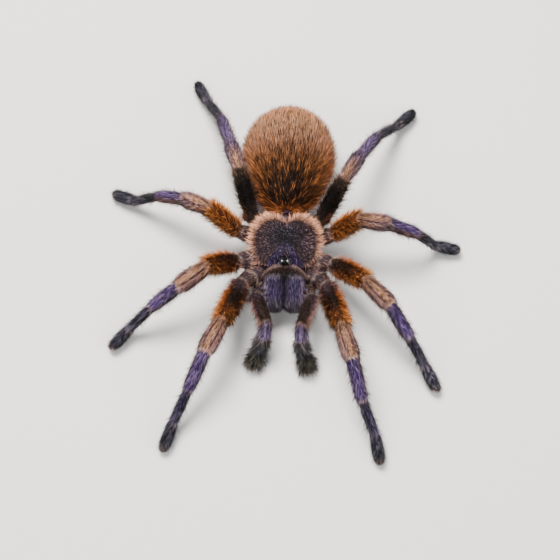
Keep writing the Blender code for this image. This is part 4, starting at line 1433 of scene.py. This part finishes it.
def atlas_tiles(parts):
    """A tile of the map for each part: left, bottom, width and height in cells."""
    tiles = {
        "abdomen": (6, 0, 2, 3), "carapace": (6, 3, 2, 2), "prosoma_underside": (6, 5, 2, 1),
        "chelicera_left": (6, 6, 1, 1), "chelicera_right": (7, 6, 1, 1)}
    limb_parts = [part for part in parts if part not in tiles]
    height = ATLAS_CELLS / math.ceil(len(limb_parts) / LIMB_COLUMNS)
    for i, part in enumerate(limb_parts):
        row, column = divmod(i, LIMB_COLUMNS)
        tiles[part] = (column, row * height, 1, height)
    return tiles


def unwrap_skin(skin, places):
    """Gives the skin a map with a tile for each part, round across and along up."""
    tiles = atlas_tiles(places.parts)
    corners = np.empty(len(skin.loops), np.int32)
    skin.loops.foreach_get("vertex_index", corners)
    sizes = np.empty(len(skin.polygons), np.int32)
    skin.polygons.foreach_get("loop_total", sizes)
    owner = np.repeat(np.arange(len(sizes)), sizes)          # the face of each corner
    starts = np.concatenate([[0], np.cumsum(sizes)[:-1]])    # the first corner of each face
    face_names = places.names[corners[starts]]
    uv = np.zeros((len(corners), 2))
    for part in places.parts:
        loops = np.flatnonzero((face_names == part)[owner])
        if not len(loops):
            continue
        along, turn, _ = locate(part, places.points[corners[loops]])
        # a face's corners are turned to within half a turn of its first, so that none spans the seam
        first_turn = np.zeros(len(sizes))
        first_loops = np.isin(loops, starts)
        first_turn[owner[loops[first_loops]]] = turn[first_loops]
        reference = first_turn[owner[loops]]
        turn = reference + (turn - reference + math.pi) % math.tau - math.pi
        left, bottom, width, height = tiles[part]
        across = np.clip(0.5 + turn / (math.tau * (1 + CELL_MARGIN * 2)), 0.01, 0.99)
        low, high = np.percentile(along, (0.1, 99.9))
        upward = np.clip((along - low) / max(high - low, 1e-6), 0.0, 1.0)
        upward = CELL_MARGIN + (1 - 2 * CELL_MARGIN) * upward
        uv[loops, 0] = (left + width * across) / ATLAS_CELLS
        uv[loops, 1] = (bottom + height * upward) / ATLAS_CELLS
    layer = skin.uv_layers.new(name="OFBake")
    layer.data.foreach_set("uv", uv.astype(np.float32).ravel())


# ---- eyes, fangs and claws ---------------------------------------------------
# across from the midline, back from the mound's middle, up from its base, and then the radius
EYES = [
    (0.79, -0.25, 1.30, 0.50), (1.36, -0.75, 0.80, 0.42),
    (1.40, 0.35, 0.80, 0.32), (0.85, 0.65, 1.12, 0.27)]
TUBERCLE_REACH = (1.35, 1.55)          # from the mound's middle to its rear and to its base


def make_eyes(main, small):
    """The front middle pair has the clearest lenses, and the six others are duller."""
    middle = np.array([MIDLINE, EYES_HIGH[1] - TUBERCLE_REACH[0], EYES_LOW[2] + TUBERCLE_REACH[1]])
    for number, (x, y, z, radius) in enumerate(EYES, 1):
        for side, sign in SIDES.items():
            shape = bmesh.new()
            bmesh.ops.create_uvsphere(shape, u_segments=24, v_segments=16, radius=radius)
            centre = middle + np.array([x * sign, y, z])
            bmesh.ops.translate(shape, vec=centre, verts=shape.verts)
            mesh = finished_mesh(shape, "eye")
            mesh.materials.append(main if number == 1 else small)
            place_piece(f"eye_{number}_{side}", mesh)


def curved_spike(shape, path, radii, sides):
    """Adds a closed tapering spike along a path to a bmesh."""
    rings = []
    for k, point in enumerate(path):
        axis = unit(path[min(k + 1, len(path) - 1)] - path[max(k - 1, 0)])
        across = unit(np.cross(axis, (0.3, 0.1, 1.0)))
        other = np.cross(across, axis)
        ring = []
        for i in range(sides):
            turn = math.tau * i / sides
            offset = (across * math.cos(turn) + other * math.sin(turn)) * radii[k]
            ring.append(shape.verts.new(point + offset))
        rings.append(ring)
    for near, far in zip(rings, rings[1:]):
        for i in range(sides):
            j = (i + 1) % sides
            shape.faces.new((near[i], near[j], far[j], far[i]))
    shape.faces.new(rings[0])
    shape.faces.new(rings[-1])


def spike_piece(name, spikes, material, sides=12, replaced=()):
    shape = bmesh.new()
    for path, radii in spikes:
        curved_spike(shape, path, radii, sides)
    bmesh.ops.recalc_face_normals(shape, faces=shape.faces)
    mesh = finished_mesh(shape, name)
    mesh.materials.append(material)
    return place_piece(name, mesh, replaced)


FANG_RADIUS = 0.72
FANG_ARC = 2.85                        # radius of the arc that a fang follows
FANG_HINGE = (2.33, 3.4)               # the arc's middle, from its node's front and base
FANG_STEPS = 20


def make_fangs(material):
    """Fangs hinged inside the chelicerae and folded back under them, along their solids' arc."""
    for side, sign in SIDES.items():
        low, high = node_box(f"fang_{side}")
        outer, inner = (high[0], low[0]) if sign > 0 else (low[0], high[0])
        path, radii = [], []
        for k in range(FANG_STEPS):
            t = k / (FANG_STEPS - 1)
            turn = math.radians(5.0 - 148.0 * t)
            path.append(np.array([
                outer - sign * FANG_RADIUS + (inner - outer + sign) * t ** 1.5,
                low[1] + FANG_HINGE[0] - FANG_ARC * math.cos(turn),
                low[2] + FANG_HINGE[1] + FANG_ARC * math.sin(turn)]))
            radii.append(FANG_RADIUS * (1.0 - t) ** 0.7 + 0.05)
        spike_piece(f"fang_{side}_horn", [(path, radii)], material, 14, (f"fang_{side}",))


CLAW_RADIUS = 0.13
CLAW_LENGTH = 0.75
CLAW_DROP = 0.55
CLAW_SPREAD = 0.28                     # from the tarsus's axis to each claw
CLAW_STEPS = 7


def make_claws(material):
    """Two small hooked claws at the tip of every limb."""
    for limb, segments in SEGMENTS.items():
        tarsus = segments[-1]
        spikes = []
        for sign in (-1.0, 1.0):
            root = tarsus.end - tarsus.axis * 0.55 + tarsus.across * CLAW_SPREAD * sign
            path, radii = [], []
            for k in range(CLAW_STEPS):
                t = k / (CLAW_STEPS - 1)
                turn = math.radians(20 - 110 * t)
                out = tarsus.axis * (CLAW_LENGTH * math.sin(math.radians(90) * t))
                drop = np.array([0.0, 0.0, CLAW_DROP * (math.cos(turn) - 1.0)])
                path.append(root + out + drop)
                radii.append(CLAW_RADIUS * (1.0 - 0.85 * t))
            spikes.append((path, radii))
        spike_piece(f"claws_{limb}", spikes, material, 8)


# ---- the whole animal --------------------------------------------------------
def ready_skin(skin, places, dusk):
    """Leaves the skin with only the attributes and the map that its coat needs."""
    for name in [a.name for a in skin.attributes]:
        if not name.startswith(".") and name not in ("position", "material_index", "sharp_face"):
            skin.attributes.remove(skin.attributes[name])
    set_attribute(skin, "strand", "FLOAT_VECTOR", places.strand)
    set_attribute(skin, "dusk", "FLOAT", dusk)
    unwrap_skin(skin, places)
    set_attribute(skin, "lie", "FLOAT_VECTOR", places.lie)


def build_animal():
    skin, names = draw_skin(gather_flesh())
    places = Places(skin, names)
    dusk, layers = coat_fields(places)
    ready_skin(skin, places, dusk)

    tree = coat_tree()
    down = hair_material("matt setae", 0.30, 1.25, Roughness=0.70, Specular_IOR_Level=0.12)
    gleam = hair_material("gleaming setae", 0.25, 1.45, Roughness=0.5, Specular_IOR_Level=0.16)
    names = places.names
    owner = np.array([ALL_SEGMENTS[n].limb if n in ALL_SEGMENTS else n for n in names])

    def cover(name, on, slot, seed, *shapes):
        """The down, the guard hairs and the bristles on one part of the skin, a seed for each."""
        kinds = ("down", "guard", "bristle")
        for kind, field, material, shape in zip(kinds, layers, (down, gleam, gleam), shapes):
            grow_coat(f"coat_{name}_{kind}", skin, field, on, tree, material, slot, seed, **shape)
            seed += 1

    bristle = dict(Thickness=0.040, Ruffle=0.30, Curl=0.12, Shortest=0.4)
    for number, limb in enumerate(LIMBS):
        cover(limb, owner == limb, "tibia" if "leg" in limb else "palp", 10 + 3 * number,
              dict(Segments=1, Thickness=0.10, Ruffle=0.2),
              dict(Thickness=0.042, Ruffle=0.33, Shortest=0.4), bristle)
    on_left = places.points[:, 0] > MIDLINE
    for number, (side, mask) in enumerate((("left", on_left), ("right", ~on_left))):
        cover(f"abdomen_{side}", (names == "abdomen") & mask, "abdomen", 50 + 3 * number,
              dict(Segments=1, Thickness=0.09, Ruffle=0.22),
              dict(Thickness=0.040, Ruffle=0.15, Curl=0.06, Shortest=0.4), bristle)
    shield = np.isin(names, ("carapace", "eye_tubercle"))
    fringed = shield & (layers[0].long > 1.0)
    cover("carapace", shield & ~fringed, "carapace", 60, dict(Segments=1, Thickness=0.16, Ruffle=0.35),
          dict(Thickness=0.10, Ruffle=0.55, Shortest=0.4), bristle)
    cover("fringe", fringed, "carapace", 90, dict(Segments=1, Thickness=0.09, Ruffle=0.40),
          dict(Thickness=0.048, Ruffle=0.42, Curl=0.25, Shortest=0.35), bristle)
    jaws = np.char.startswith(names.astype(str), "chelicera") | (names == "clypeus")
    cover("chelicerae", jaws, "chelicera", 70, dict(Segments=1, Thickness=0.10, Ruffle=0.10),
          dict(Thickness=0.042, Ruffle=0.12), bristle)
    rest = ~np.isin(owner, list(LIMBS)) & ~jaws & ~shield & (names != "abdomen")
    cover("underside", rest, "underside", 80, dict(Segments=1, Thickness=0.10, Ruffle=0.25),
          dict(Thickness=0.06, Ruffle=0.25), bristle)

    skin.attributes.remove(skin.attributes["lie"])
    set_attribute(skin, "pelt", "FLOAT_COLOR", with_alpha(layers[0].colour))
    skin.materials.clear()
    skin.materials.append(skin_material())
    hidden = [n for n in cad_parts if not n.startswith("fang")]
    place_piece("skin", skin, hidden)

    make_eyes(lens_material(), small_lens_material())
    horn = horn_material()
    make_fangs(horn)
    make_claws(horn)


# ---- floor, light and camera -------------------------------------------------
CAMERA_AIM = Vector((-0.64, -8.24, 9.0)) * MM
CAMERA_DISTANCE = 420.0 * MM
CAMERA_TURN = math.radians(2.0)
CAMERA_RISE = math.radians(68.0)
VIEW_WIDTH = 164.0 * MM                # what the frame spans at the aim
SENSOR = 36.0


def make_floor():
    """Matt paper that throws no gloss back."""
    material, _, _ = new_material("pale studio paper", "dddad6", Roughness=0.9)
    mesh = bpy.data.meshes.new("studio_floor")
    half = 1.5
    mesh.from_pydata([(-half, -half, 0), (half, -half, 0), (half, half, 0), (-half, half, 0)],
                     [], [(0, 1, 2, 3)])
    mesh.materials.append(material)
    new_object("studio_floor", mesh)


def aim(thing, target):
    thing.rotation_euler = (target - thing.location).to_track_quat("-Z", "Y").to_euler()


def make_light(name, place, size, power, colour=(1.0, 1.0, 1.0)):
    lamp = bpy.data.lights.new(name, "AREA")
    lamp.size = size
    lamp.energy = power
    lamp.color = colour
    light = new_object(name, lamp)
    light.location = place
    aim(light, Vector((0.0, 0.0, 0.01)))


def make_studio():
    make_floor()
    make_light("key", Vector((-0.13, 0.21, 0.61)), 0.30, 13.5, (1.0, 0.97, 0.93))
    make_light("fill", Vector((0.45, -0.25, 0.40)), 0.5, 3.0, (0.93, 0.96, 1.0))
    make_light("front fill", Vector((-0.30, -0.45, 0.40)), 0.5, 2.4)
    world = bpy.data.worlds.new("studio")
    world.use_nodes = True
    back = world.node_tree.nodes["Background"]
    back.inputs["Color"].default_value = (0.9, 0.93, 1.0, 1.0)
    back.inputs["Strength"].default_value = 0.30
    bpy.context.scene.world = world


def make_camera():
    lens = bpy.data.cameras.new("camera")
    lens.sensor_width = SENSOR
    lens.lens = SENSOR * CAMERA_DISTANCE / VIEW_WIDTH
    lens.clip_start = 0.01
    camera = new_object("camera", lens)
    flat = math.cos(CAMERA_RISE)
    back = Vector((
        math.sin(CAMERA_TURN) * flat, -math.cos(CAMERA_TURN) * flat, math.sin(CAMERA_RISE)))
    camera.location = CAMERA_AIM + back * CAMERA_DISTANCE
    aim(camera, CAMERA_AIM)
    bpy.context.scene.camera = camera


make_camera()
build_animal()
make_studio()
